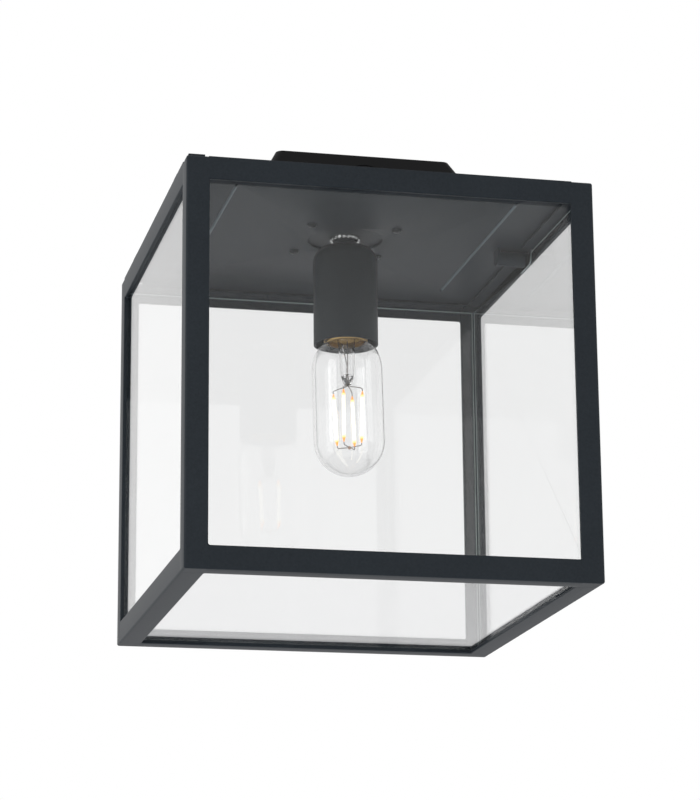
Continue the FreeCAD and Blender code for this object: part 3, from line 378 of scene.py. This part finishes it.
phosphor = finishOf("phosphor", stickRecipe)

nodeFinish = {
    "coat": "top_corner_straps bottom_corner_straps hinge_leaves roof_knuckles",
    "holderMould": "lampholder_neck",
    "rubberBlack": "ceiling_gasket cable_grommet roof_seal",
    "whiteMould": "terminal_block",
    "ceramic": "lampholder_insert",
    "zinc": "terminal_screws earth_screw nipple nipple_locknut lampholder_screws hinge_pins "
            "clamp_washer clamp_screw",
    "brass": "centre_contact",
    "solder": "bulb_contact",
    "blackGlass": "bulb_insulator",
    "brownSleeve": "live_lead",
    "blueSleeve": "neutral_lead",
    "greenSleeve": "earth_lead",
}
for finishName, names in nodeFinish.items():
    for nodeName in names.split():
        kept = cadNodes[nodeName]
        kept.data.materials.clear()
        kept.data.materials.append(bpy.data.materials[finishName])
print("finishes made:", len(bpy.data.materials))


# cage

def foldedAngle():
    # Section shared by posts and bottom rails: two faces and a lip at the end of each.
    face, lip, wall = cage["face"], cage["lip"], cage["wall"]
    corners = [(0, 0), (face, 0), (face, lip), (face - wall, lip), (face - wall, wall), (wall, wall),
               (wall, face - wall), (lip, face - wall), (lip, face), (0, face)]
    edge, cut = cage["edgeFold"], cage["cutEdge"]
    radii = [cage["fold"], edge, cut, cut, cut, cut, cut, cut, cut, edge]
    return roundedOutline(corners, radii, cage["bendSteps"])


def topSection(shelf=True, tallest=None):
    # Section of a top rail: face, lip at the window edge and, mostly, a shelf under the roof plate.
    face, lip, wall = cage["face"], cage["lip"], cage["wall"]
    high = tallest or face
    shelfTop = face - cage["shelfDrop"]
    corners = [(0, 0), (lip, 0), (lip, wall), (wall, wall)]
    if shelf:
        reach = cage["shelfWide"]
        corners += [(wall, shelfTop - wall), (reach, shelfTop - wall), (reach, shelfTop), (wall, shelfTop)]
    corners += [(wall, high), (0, high)]
    cut = cage["cutEdge"]
    radii = [cage["edgeFold"]] + [cut] * (len(corners) - 1)
    return roundedOutline(corners, radii, cage["bendSteps"])


up = (0, 0, 1)
halfWide, halfDeep = cage["wide"] / 2, cage["deep"] / 2
inside = {"front": (0, 1, 0), "right": (-1, 0, 0), "back": (0, -1, 0), "left": (1, 0, 0)}
postCorners = {
    "front_left": ((-halfWide, -halfDeep), (1, 0, 0), (0, 1, 0)),
    "front_right": ((halfWide, -halfDeep), (0, 1, 0), (-1, 0, 0)),
    "back_right": ((halfWide, halfDeep), (-1, 0, 0), (0, -1, 0)),
    "back_left": ((-halfWide, halfDeep), (0, -1, 0), (1, 0, 0)),
}


def makePost(name, corner, across, inward):
    # The folded angle at full height; near both ends its two outer faces move in by r - r sin(a) while
    # the level moves by r - r cos(a), so the ends are rounded like the folds. A plate fills each end.
    corner, across, inward = (np.array(v, float) for v in ((*corner, 0), across, inward))
    fold, wall, face, lip = cage["fold"], cage["wall"], cage["face"], cage["lip"]
    flat = foldedAngle()
    bend = np.radians(np.linspace(0, 90, 7))[:, None, None]
    inset = fold * (1 - np.sin(bend))
    arc = (np.arange(len(flat)) < cage["bendSteps"])[None, :, None]
    rings = np.where(arc, fold + (flat - fold) * (fold - inset) / fold, np.maximum(flat, inset))
    rise = (fold * (1 - np.cos(bend)))[:, 0, 0]
    low, high = cage["bottom"] + cage["endGap"], cage["top"] - cage["endGap"]
    rings = np.concatenate([rings, rings[::-1]])
    levels = np.concatenate([low + rise, (high - rise)[::-1]])[:, None, None]
    points = corner + rings[..., :1] * across + rings[..., 1:] * inward + levels * np.array([0, 0, 1])
    count, rows = len(flat), len(rings)
    faces = gridFaces(rows, count, False, True)
    faces += [list(range(count))[::-1], list(range((rows - 1) * count, rows * count))]
    parts = [(points.reshape(-1, 3), faces)]
    far, near = face - cage["edgeFold"] - cage["endGap"], face - wall
    plate = np.array([(wall, wall), (near, wall), (near, lip), (far, lip),
                      (far, far), (lip, far), (lip, near), (wall, near)])
    for level in (low, high - wall):
        parts.append(extruded(plate, corner + [0, 0, level], across, inward, up, wall))
    if name == "front_left":
        side = fold + cage["capSide"]
        square = [(fold, fold), (side, fold), (side, side), (fold, side)]
        cap = roundedOutline(square, [cage["edgeFold"]] * 4, 4)
        seat, rise = corner + [0, 0, cage["top"] - cage["sink"]], cage["capRise"] + cage["sink"]
        parts.append(extruded(cap, seat, across, inward, up, rise))
    mesh = asMesh("post_" + name + "_sheet", *joined(parts))
    asPiece("post_" + name + "_sheet", mesh, "cage", coat, ("post_" + name,))


def makeWelds():
    # Each window corner is filled by a small ground weld: a square corner less a quarter circle.
    weld, sink, face = cage["weld"], cage["weldSink"], cage["face"]
    deep = cage["lip"] - cage["weldShort"]
    angle = np.radians(np.linspace(0, 90, 7))
    arc = weld * (1 - np.stack([np.cos(angle), np.sin(angle)], 1))
    outline = np.vstack([[[0, 0]], arc[::-1]]) - sink
    parts = []
    for side, inward in inside.items():
        inward = np.array(inward, float)
        along = np.cross(inward, up)
        reachIn, reachAlong = (halfDeep, halfWide) if side in ("front", "back") else (halfWide, halfDeep)
        for end in (-1, 1):
            for level, rise in ((cage["bottom"] + face, 1), (cage["top"] - face, -1)):
                start = -inward * (reachIn - sink) + along * end * (reachAlong - face) + [0, 0, level]
                parts.append(extruded(outline, start, -along * end, (0, 0, rise), inward, deep))
    for x in (-1, 1):
        for y in (-1, 1):
            start = (x * (halfWide - face), y * (halfDeep - face), cage["bottom"] + sink)
            parts.append(extruded(outline, start, (-x, 0, 0), (0, -y, 0), up, deep))
    asPiece("window_welds", asMesh("window_welds", *joined(parts)), "cage", coat)


def railStart(side, level, at=0.0):
    # Where a rail's section starts, its inward direction and its direction along the side.
    inward = np.array(inside[side], float)
    along = np.cross(inward, up)
    reachIn = halfDeep if side in ("front", "back") else halfWide
    reachAlong = halfWide if side in ("front", "back") else halfDeep
    start = -inward * reachIn - along * (reachAlong - cage["face"]) + along * at + np.array([0, 0, level])
    return start, inward, along, 2 * (reachAlong - cage["face"])


def makeRails(side):
    # A bottom rail, and a top rail that is broken at the clamp lug on the right.
    over = cage["edgeFold"]
    start, inward, along, span = railStart(side, cage["bottom"], -over)
    name = "bottom_rail_" + side
    low = asMesh(name + "_sheet", *extruded(foldedAngle(), start, inward, up, along, span + 2 * over))
    asPiece(name + "_sheet", low, "cage", coat, (name,))
    level = cage["top"] - cage["face"]
    runs = [(-over, span + over, topSection())]
    if side == "right":
        middle, notch, slot = span / 2, cage["notchWide"] / 2, cage["slotHalf"]
        stub = cage["face"] - cage["lugDrop"] - slot
        runs = [(-over, middle - notch, topSection()),
                (middle - notch, middle - slot, topSection(False)),
                (middle - slot, middle + slot, topSection(False, stub)),
                (middle + slot, middle + notch, topSection(False)),
                (middle + notch, span + over, topSection())]
    parts = []
    for begin, end, section in runs:
        start, inward, along, span = railStart(side, level, begin)
        parts.append(extruded(section, start, inward, up, along, end - begin))
    name = "top_rail_" + side
    high = asMesh(name + "_sheet", *joined(parts))
    asPiece(name + "_sheet", high, "cage", coat, (name,))


for name, (corner, across, inward) in postCorners.items():
    makePost(name, corner, across, inward)
for side in inside:
    makeRails(side)
makeWelds()
print("cage made")

# panes

pane = {"thick": 0.003, "edge": 0.006, "topDrop": 0.008, "grind": 0.0003, "notchWide": 0.028,
        "notchDeep": 0.007, "notchCorner": 0.005, "corner": 0.0002}


def groundSheet(name, outline, origin, across, high, through):
    # A sheet of glass: two clear faces, a ground edge, and a small bevel between them.
    thick, grind = pane["thick"], pane["grind"]
    origin, across, high, through = (np.array(v, float) for v in (origin, across, high, through))
    inner = insetOutline(outline, grind)
    rings = [(inner, 0), (outline, grind), (outline, thick - grind), (inner, thick)]
    points = np.concatenate([origin + ring[:, :1] * across + ring[:, 1:] * high + depth * through
                             for ring, depth in rings])
    count = len(outline)
    faces = gridFaces(4, count, False, True) + [list(range(count))[::-1], list(range(3 * count, 4 * count))]
    mesh = asMesh(name + "_sheet", points, faces, 20)
    normals = np.zeros(len(mesh.polygons) * 3)
    mesh.polygons.foreach_get("normal", normals)
    edgeOn = (np.abs(normals.reshape(-1, 3) @ through) < 0.99).astype(np.int32)
    mesh.polygons.foreach_set("material_index", edgeOn)
    asPiece(name + "_sheet", mesh, "cage", [paneGlass, groundEdge], (name,))


def insetOutline(outline, reach):
    # Each point moves in along the mean of the normals of its two sides.
    side = np.roll(outline, -1, 0) - outline
    side /= np.linalg.norm(side, axis=1, keepdims=True)
    normal = np.stack([-side[:, 1], side[:, 0]], 1)
    mean = normal + np.roll(normal, 1, 0)
    mean /= (mean * mean).sum(1, keepdims=True) / 2
    return outline + mean * reach


def makePanes():
    # Four upright panes behind the lips and one lying on the bottom lips.
    edge, wall, thick = pane["edge"], cage["wall"], pane["thick"]
    low, high = cage["bottom"] + wall, cage["top"] - pane["topDrop"]
    tall = high - low
    wide, deep = cage["wide"] - 2 * edge, cage["deep"] - 2 * edge

    def plain(long, rise):
        return np.array([(0, 0), (long, 0), (long, rise), (0, rise)], float)
    lip = cage["lip"]
    x, y = (1, 0, 0), (0, 1, 0)
    groundSheet("pane_front", plain(wide, tall), (-wide / 2, -halfDeep + lip, low), x, up, y)
    groundSheet("pane_back", plain(wide, tall), (-wide / 2, halfDeep - lip - thick, low), x, up, y)
    groundSheet("pane_left", plain(deep, tall), (-halfWide + lip, -deep / 2, low), y, up, x)
    notch, drop, bend = pane["notchWide"] / 2, pane["notchDeep"], pane["notchCorner"]
    middle = deep / 2
    corners = [(0, 0), (deep, 0), (deep, tall), (middle + notch, tall), (middle + notch, tall - drop),
               (middle - notch, tall - drop), (middle - notch, tall), (0, tall)]
    fine = pane["corner"]
    notched = roundedOutline(corners, [fine, fine, fine, fine, bend, bend, fine, fine], 10)
    groundSheet("pane_right", notched, (halfWide - lip - thick, -deep / 2, low), y, up, x)
    groundSheet("pane_bottom", plain(wide, deep), (-wide / 2, -deep / 2, cage["bottom"] + lip), x, y, up)


makePanes()
print("panes made")

# roof

box = {"topHalf": 0.0555, "baseHalf": 0.0755, "tall": 0.0365, "topBend": 0.009, "baseBend": 0.0126,
       "sharper": 0.5, "near": 0.0003}


def makeTerminalBox():
    # The box with crisper upright corners: a corner point keeps its direction u from the arc's centre
    # c = half - bend, and lands at (half - r) + r * u with the smaller radius r.
    made = softened("terminal_box", 0.0005, "roof", blackMould, 2, 40)
    mesh = made.data
    flat = np.empty(len(mesh.vertices) * 3)
    mesh.vertices.foreach_get("co", flat)
    points = flat.reshape(-1, 3)
    share = np.clip(-points[:, 2] / box["tall"], 0, 1)
    half = box["topHalf"] + (box["baseHalf"] - box["topHalf"]) * share
    bend = box["topBend"] + (box["baseBend"] - box["topBend"]) * share
    sign = np.sign(points[:, :2])
    offset = np.abs(points[:, :2]) - (half - bend)[:, None]
    reach = np.linalg.norm(offset, axis=1)
    outer = (offset > -1e-6).all(1) & (np.abs(reach - bend) < box["near"])
    fresh = bend * box["sharper"]
    moved = ((half - fresh)[:, None] + offset / np.maximum(reach, 1e-9)[:, None] * fresh[:, None]) * sign
    points[outer, :2] = moved[outer]
    mesh.vertices.foreach_set("co", points.ravel())


makeTerminalBox()
softened("roof_plate", 0.0004, "roof", coat, 2, 40)
softened("roof_screws", 0.00025, "roof", darkScrew, 2, 40)
softened("serrated_nut", 0.00015, "roof", zinc, 1, 40)
softened("clamp_lug", 0.0004, "roof", coat, 2, 40)
beads = {"side": 0.088, "radius": 0.0009, "long": 0.1855, "level": -0.038}


def makeBeads():
    # The plate's two pressed beads, as half rounds that taper to nothing at their ends, in a lighter coat
    # that paints a highlight along each.
    along = np.linspace(-1, 1, 61)
    reach = beads["radius"] * np.sqrt(np.maximum(1 - np.abs(along) ** 60, 0.01))
    parts = []
    for side in (-1, 1):
        place = 0 * along + side * beads["side"]
        path = np.stack([place, along * beads["long"] / 2, 0 * along + beads["level"]], 1)
        parts.append(tube(path, reach, 16))
    asPiece("plate_beads", asMesh("plate_beads", *joined(parts)), "roof", beadHighlightCoat)


# the beads' coat is the plate's coat made much lighter: a painted highlight along each bead
beadHighlightCoat = powderCoat("beadHighlightCoat", colour(104, 114, 118), colour(120, 130, 134), 0.4)
makeBeads()
print("roof made")

# lampholder

holder = {"radius": 0.0205, "tall": 0.065, "top": -0.0430, "wall": 0.0015, "shoulder": 0.010, "bore": 0.005,
          "rimEase": 0.0004, "steps": 14}
holder["rim"] = holder["top"] - holder["tall"]


def arcPoints(centre, radius, start, end, steps):
    # Points on an arc; angles in degrees from the first axis.
    angle = np.radians(np.linspace(start, end, steps))
    return np.stack([centre[0] + radius * np.cos(angle), centre[1] + radius * np.sin(angle)], 1)


def makeCover():
    # A round cover with a domed shoulder and an eased rim, turned as one closed wall.
    radius, wall, top, rim = holder["radius"], holder["wall"], holder["top"], holder["rim"]
    bend, ease, steps = holder["shoulder"], holder["rimEase"], holder["steps"]
    outerTop = arcPoints((radius - bend, top - bend), bend, 0, 90, steps)
    innerTop = arcPoints((radius - bend, top - bend), bend - wall, 90, 0, steps)
    rimArc = np.vstack([arcPoints((radius - wall + ease, rim + ease), ease, 180, 270, 5),
                        arcPoints((radius - ease, rim + ease), ease, 270, 360, 5)])
    profile = np.vstack([outerTop, [[holder["bore"], top]], [[holder["bore"], top - wall]], innerTop, rimArc])
    points, shape = turned(profile, 128)
    mesh = asMesh("lampholder_shade", points, turnedFaces(shape, True), 40)
    asPiece("lampholder_shade", mesh, "roof", holderMould, ("lampholder_cover",))


shell = {"bore": 0.0134, "wall": 0.0004, "rib": 0.0005, "pitch": 0.00363, "tall": 0.0325, "flange": 0.019,
         "top": -0.0730, "rows": 120, "plate": 0.0008, "throat": 0.001, "plain": 0.002}


def fadedEnds(height, low, high):
    # 1 along a thread, and down to 0 over its first and last turn.
    pitch = shell["pitch"]
    return np.clip((height - low) / pitch, 0, 1) * np.clip((high - height) / pitch, 0, 1)


def makeShell():
    # The brass screw shell: a threaded sleeve of even wall with a flange at its top.
    top, low, plate = shell["top"], shell["top"] - shell["tall"], shell["plate"]
    rows = np.linspace(low, top, shell["rows"])
    inner = np.stack([np.full(rows.size, shell["bore"]), rows], 1)
    outer = inner[::-1] + [shell["wall"], 0]
    outer = outer[outer[:, 1] < top - plate]
    reach, throat = shell["flange"], shell["bore"] + shell["throat"]
    flange = [[reach, top], [reach, top - plate], [throat, top - plate]]

    def ribbed(radius, height, angle):
        swing = 0.5 - 0.5 * np.cos(angle + 2 * np.pi * height / shell["pitch"])
        fade = fadedEnds(height, low, top - shell["plain"])
        return np.where(radius < shell["bore"] + 0.0009, radius + shell["rib"] * swing * fade, radius)
    points, shape = turned(np.vstack([inner, flange, outer]), 96, ribbed)
    mesh = asMesh("screw_shell_rolled", points, turnedFaces(shape, True), 50)
    asPiece("screw_shell_rolled", mesh, "roof", brass, ("screw_shell",))


makeCover()
makeShell()
print("lampholder made")

# bulb

bulb = {"capRim": -0.1065, "capTall": 0.024, "capRadius": 0.013, "glassRadius": 0.0225, "tip": -0.1933,
        "wall": 0.0008, "neck": 0.0126, "shoulder": 0.020, "lean": 1.2,
        "stemRadius": 0.005, "stemLong": 0.028, "stemWall": 0.00045,
        "stickDrop": 0.0327, "stickLong": 0.0335, "stickRadius": 0.00105,
        "topRing": 0.0096, "lowRing": 0.0084, "topTurn": 29.4, "lowTurn": 36.7,
        "wire": 0.00028, "bead": 0.0011,
        "capSheet": 0.0003, "threadDeep": 0.001, "threadLow": 0.004, "threadHigh": 0.0195}
bulb["pivot"] = bulb["capRim"] + bulb["capTall"] * 2 / 3


def leaned(points):
    # The bulb's axis leans: points turn about a Y line through the pivot height.
    lean = -math.radians(bulb["lean"])
    x, z = points[:, 0], points[:, 2] - bulb["pivot"]
    turnedX = x * math.cos(lean) + z * math.sin(lean)
    turnedZ = -x * math.sin(lean) + z * math.cos(lean) + bulb["pivot"]
    return np.stack([turnedX, points[:, 1], turnedZ], 1)


def bulbPiece(name, points, faces, finish, replaced=(), sharp=40):
    # A leaning piece on the bulb's body.
    mesh = asMesh(name, leaned(points), faces, sharp)
    return asPiece(name, mesh, "bulb", finish, replaced)


def envelopeLine(inset, neckTop):
    # Tip to neck at a depth under the outside: half ball, straight wall, smooth shoulder, neck.
    radius, neck, rim = bulb["glassRadius"] - inset, bulb["neck"] - inset, bulb["capRim"]
    tall = bulb["shoulder"]
    ball = arcPoints((0, bulb["tip"] + bulb["glassRadius"]), radius, -90, 0, 28)
    fall = np.array([1.0, 0.8, 0.58, 0.4, 0.25, 0.15, 0.095, 0.045, 0.0, -0.03])
    inward = np.array([0.0, 0.018, 0.09, 0.2, 0.35, 0.52, 0.66, 0.84, 0.975, 1.0])
    knots = np.stack([radius - (radius - neck) * inward, rim - tall * fall, 0 * fall], 1)
    curve = smoothPath(knots, 5)[:, :2]
    top = [[neck, rim + 0.0015], [neck, neckTop]]
    return np.vstack([ball, curve[1:], top])


def makeEnvelope():
    # The clear envelope: the outer line up and the inner line back make one closed wall.
    neckTop = bulb["capRim"] + 0.0025
    outer = envelopeLine(0, neckTop)
    inner = envelopeLine(bulb["wall"], neckTop)
    points, shape = turned(np.vstack([outer, inner[::-1]]), 128)
    bulbPiece("bulb_envelope", points, turnedFaces(shape, False), bulbGlass, ("bulb_glass",))


def makeCap():
    # The rolled brass cap: a plain skirt, a helical thread and a cone up to the end contact.
    rim, tall, radius = bulb["capRim"], bulb["capTall"], bulb["capRadius"]
    low, high = rim + bulb["threadLow"], rim + bulb["threadHigh"]
    sheet, rise = bulb["capSheet"], bulb["threadDeep"]
    base = radius - rise
    rows = np.linspace(low, high, 90)
    thread = np.stack([np.full(rows.size, base), rows], 1)
    skirt = [[0.0127, rim], [radius, rim + 0.0003], [radius, rim + 0.003], [base + 1e-6, rim + 0.0036]]
    cone = [[base - 0.0002, high + 0.0006], [0.0078, rim + tall - 0.001]]
    outer = np.vstack([skirt, thread, cone])
    inner = outer[::-1] - [sheet, 0.0]
    inner = inner[(inner[:, 1] < high + 0.001) | (inner[:, 0] < 0.008)]
    inner[-1] = [0.0124, rim]

    def ribbed(r, height, angle):
        swing = 0.5 + 0.5 * np.cos(angle - 2 * np.pi * height / shell["pitch"])
        onThread = (np.abs(r - base) < 1e-7) | (np.abs(r - base + sheet) < 1e-7)
        return np.where(onThread, r + rise * swing * fadedEnds(height, low, high), r)
    points, shape = turned(np.vstack([outer, inner]), 96, ribbed)
    bulbPiece("bulb_cap_rolled", points, turnedFaces(shape, True), brass, ("bulb_cap",), 50)


def cementPaintedGlowRecipe(start):
    # Baked cement, streaked up and down, with a faint painted glow in its own colour that stands for light
    # from the sticks.
    streak = noise(start, 700, 3, 0.6, (1, 1, 0.12))
    tan = streak.mixed(colour(120, 92, 44), colour(214, 182, 116))
    # tan is both the cement's colour and its emission: the emission is painted light, a glow though the
    # cement is no lamp
    return {"Base Color": tan, "Roughness": 0.5, "Emission Color": tan, "Emission Strength": 0.28}


cementPaintedGlow = finishOf("cementPaintedGlow", cementPaintedGlowRecipe)


def makeCement():
    # The ring of cement that fills the cap round the neck and above it, as one closed wall.
    rim = bulb["capRim"]
    profile = [(0.0111, rim + 0.0028), (0.0114, rim + 0.0085), (0.0089, rim + 0.0120),
               (0.0050, rim + 0.0130), (0.0050, rim + 0.0136), (0.0092, rim + 0.0126),
               (0.01155, rim + 0.0090), (0.01155, rim + 0.0028)]
    points, shape = turned(profile, 96)
    bulbPiece("cap_cement", points, turnedFaces(shape, True), cementPaintedGlow)


def stickLines():
    # Low and high end of the four sticks, which lean in towards the tip and twist a little.
    quarter = np.arange(4) * np.pi / 2
    high = bulb["capRim"] - bulb["stickDrop"]

    def ring(radius, turn, level):
        angle = quarter - math.radians(turn)
        return np.stack([radius * np.cos(angle), radius * np.sin(angle), np.full(4, level)], 1)
    lows = ring(bulb["lowRing"], bulb["lowTurn"], high - bulb["stickLong"])
    return lows, ring(bulb["topRing"], bulb["topTurn"], high)


def makeSticks():
    # Each stick is a slim rod whose radius falls off at both ends as a power of the distance.
    lows, highs = stickLines()
    share, sides = np.linspace(0, 1, 41), 14
    swell = bulb["stickRadius"] * (1 - np.abs(2 * share - 1) ** 22) ** 0.5
    swell = np.maximum(swell * (1 - 0.35 * (np.abs(share - 0.5) > 0.43)), 0.00022)
    parts = [tube(low + (high - low) * share[:, None], swell, sides) for low, high in zip(lows, highs)]
    points, faces = joined(parts)
    along = np.tile(np.repeat(share, sides), len(lows))
    mesh = bpy.data.meshes.new("filament_rods")
    mesh.from_pydata(leaned(points).tolist(), [], faces)
    mesh.attributes.new("along", "FLOAT", "POINT").data.foreach_set("value", along.astype(np.float32))
    mesh.shade_smooth()
    mesh.set_sharp_from_angle(angle=math.radians(60))
    asPiece("filament_rods", mesh, "bulb", phosphor, ("filament_sticks",))


def makeStem():
    # A thin glass tube, flared to the neck above and pressed flat round below: a wall of even thickness.
    rim, radius, wall = bulb["capRim"], bulb["stemRadius"], bulb["stemWall"]
    low = rim - bulb["stemLong"]
    flare = [(0.0088, rim + 0.0060), (0.0070, rim + 0.0040), (0.0058, rim + 0.0018), (0.0053, rim - 0.0010)]
    straight = [(radius, rim - 0.0060), (radius, rim - 0.0115), (radius * 0.94, rim - 0.017)]
    outer = np.array(flare + straight + [(radius * 0.82, low + 0.0062)])
    inner = outer[::-1] - [wall, 0.0]
    press = [(radius * 0.62, low + 0.0022), (radius * 0.5, low + 0.0006), (radius * 0.3, low), (0, low),
             (0, low + 0.0062), (radius * 0.3, low + 0.0064), (radius * 0.6, low + 0.0068)]
    points, shape = turned(np.vstack([outer, press, inner]), 64)
    bulbPiece("stem_tube", points, turnedFaces(shape, True), bulbGlass, ("bulb_stem",))


def makeWires():
    # Lead-in wires down the stem, and the support wires that fan to the sticks' ends.
    lows, highs = stickLines()
    rim, wire = bulb["capRim"], bulb["wire"]
    hub = rim - bulb["stemLong"]
    left = [(-0.0032, -0.001, rim - 0.001), (-0.0016, -0.0008, rim - 0.008), (-0.0004, -0.0004, rim - 0.0135),
            (0.0003, 0.0003, rim - 0.018), (-0.0003, 0.0002, rim - 0.0225), (0, 0, hub - 0.0006)]
    right = [(0.0008, 0.001, rim + 0.001), (0.0007, 0.0006, rim - 0.009), (0.0003, 0.0003, rim - 0.0145),
             (-0.0003, -0.0002, rim - 0.019), (0.0004, 0, rim - 0.0235), (0.0002, 0, hub - 0.0006)]
    paths = [left, right]
    for end in highs:
        reach = end * [1, 1, 0]
        start = np.array([0.0003, 0, hub - 0.0002])
        paths.append([start, start + reach * 0.2 + [0, 0, -0.0006], start + reach * 0.75 + [0, 0, -0.0018],
                      reach * 0.985 + [0, 0, end[2] + 0.0016], end])
    foot = np.array([0, 0, lows[0][2] - 0.0022])
    for end in lows:
        reach = end * [1, 1, 0]
        paths.append([foot, foot + reach * 0.5 + [0, 0, 0.0003], foot + reach * 0.94 + [0, 0, 0.0006], end])
    parts = [tube(smoothPath(path, 6), wire, 8) for path in paths]
    points, faces = joined(parts)
    bulbPiece("filament_supports", points, faces, wireSteel, ("filament_wires",), 60)
    size = bulb["bead"]
    bead = [(r * size, foot[2] + h * size) for r, h in arcPoints((0, 0), 1, -90, 90, 12)]
    beadPoints, shape = turned(bead, 24)
    bulbPiece("filament_bead", beadPoints, turnedFaces(shape, False), beadGlass)


def beadRecipe(start):
    # Pinkish glass of the bead that ties the support wires together.
    tint = noise(start, 800, 2).mixed(colour(226, 170, 140), colour(240, 196, 170))
    return {"Base Color": tint, "Roughness": 0.35}


beadGlass = finishOf("beadGlass", beadRecipe)
makeEnvelope()
makeCap()
makeCement()
makeStem()
makeSticks()
makeWires()
print("bulb made")

# stage, light and camera

stage = {"floorDrop": 1.3, "floorSide": 40.0, "mirrored": 0.87, "paint": (0.76, 0.83, 0.89, 1), "rough": 0.9,
         "shown": (0.97, 0.97, 0.98, 1)}


def makeFloor():
    # A plain pale floor under the lantern, outside the photograph's view: an even white to the camera,
    # to gloss and through glass, and plain paint for the light that it throws back.
    half = stage["floorSide"] / 2
    level = -stage["floorDrop"]
    corners = [(-half, -half, level), (half, -half, level), (half, half, level), (-half, half, level)]
    mesh = bpy.data.meshes.new("floor")
    mesh.from_pydata(corners, [], [[0, 1, 2, 3]])
    floor = bpy.data.objects.new("floor", mesh)
    bpy.context.scene.collection.objects.link(floor)
    pale = bpy.data.materials.new("paleFloor")
    pale.use_nodes = True
    tree = pale.node_tree
    paint = tree.nodes["Principled BSDF"]
    paint.inputs["Base Color"].default_value = stage["paint"]
    paint.inputs["Roughness"].default_value = stage["rough"]
    start = Wire(tree)
    direct, gloss, through = rayKinds(tree, "Camera", "Glossy", "Transmission")
    seen = direct.orElse(gloss).orElse(through)
    white = start.add("Emission", None, {"Color": stage["shown"], "Strength": stage["mirrored"]})
    shown = start.add("MixShader", None, {0: seen, 1: Wire(tree, paint.outputs[0]), 2: white})
    tree.links.new(shown.socket, tree.nodes["Material Output"].inputs["Surface"])
    mesh.materials.append(pale)


studio = {"fill": 0.55, "frontFrom": 0.35, "frontRise": 2.5, "frontDark": 0.85}


def makeWorld():
    # White to the camera, to gloss and through glass; a lower level for everything that is lit by it.
    # To gloss it darkens towards the front: rise * (-Y of the direction - from), held between 0 and 1.
    world = bpy.data.worlds.new("studio")
    bpy.context.scene.world = world
    world.use_nodes = True
    tree = world.node_tree
    start = Wire(tree)
    direct, gloss, through = rayKinds(tree, "Camera", "Glossy", "Transmission")
    way = start.add("SeparateXYZ", None, {0: start.add("TexCoord", None, None, "Generated")}, "Y")
    clamped = {"operation": "MULTIPLY", "use_clamp": True}
    front = start.add("Math", clamped, {0: way * -1 - studio["frontFrom"], 1: studio["frontRise"]})
    mirrored = gloss * (1 - front * studio["frontDark"])
    seen = direct.orElse(mirrored).orElse(through)
    lit = 1 - direct.orElse(gloss).orElse(through)
    back = tree.nodes["Background"]
    level = seen + lit * studio["fill"]
    back.inputs["Color"].default_value = (1, 1, 1, 1)
    tree.links.new(level.socket, back.inputs["Strength"])


lamps = {
    "left": {"place": (-1.6, -0.9, 0.1), "size": 1.2, "power": 9},
    "right": {"place": (1.7, -1.2, 0.2), "size": 1.2, "power": 5},
}
lampTarget = (0, 0, -0.16)


def makeLamps():
    # Two soft white area lamps that face the lantern's middle.
    for name, lamp in lamps.items():
        data = bpy.data.lights.new(name, "AREA")
        data.size, data.energy = lamp["size"], lamp["power"]
        made = bpy.data.objects.new(name, data)
        bpy.context.scene.collection.objects.link(made)
        made.location = lamp["place"]
        made.rotation_euler = (Vector(lampTarget) - made.location).to_track_quat("-Z", "Y").to_euler()


camera = {"place": (-0.3834, -1.65806, -0.59915), "right": (0.974428, -0.224541, -0.008458),
          "down": (0.050101, 0.253807, -0.965956), "ahead": (0.219044, 0.940831, 0.258567), "lens": 125.395}


def makeCamera():
    # The camera that was fitted to the cage's corners, from its three axes.
    data = bpy.data.cameras.new("camera")
    data.lens, data.sensor_width, data.sensor_fit = camera["lens"], 36, "AUTO"
    data.clip_start, data.clip_end = 0.05, 50
    made = bpy.data.objects.new("camera", data)
    bpy.context.scene.collection.objects.link(made)
    axes = [Vector(camera["right"]), -Vector(camera["down"]), -Vector(camera["ahead"])]
    turn = Matrix([[axes[column][row] for column in range(3)] for row in range(3)]).to_4x4()
    made.matrix_world = Matrix.Translation(camera["place"]) @ turn
    bpy.context.scene.camera = made


makeFloor()
makeWorld()
makeLamps()
makeCamera()
bpy.context.scene.view_settings.view_transform = "Standard"
print("studio made")
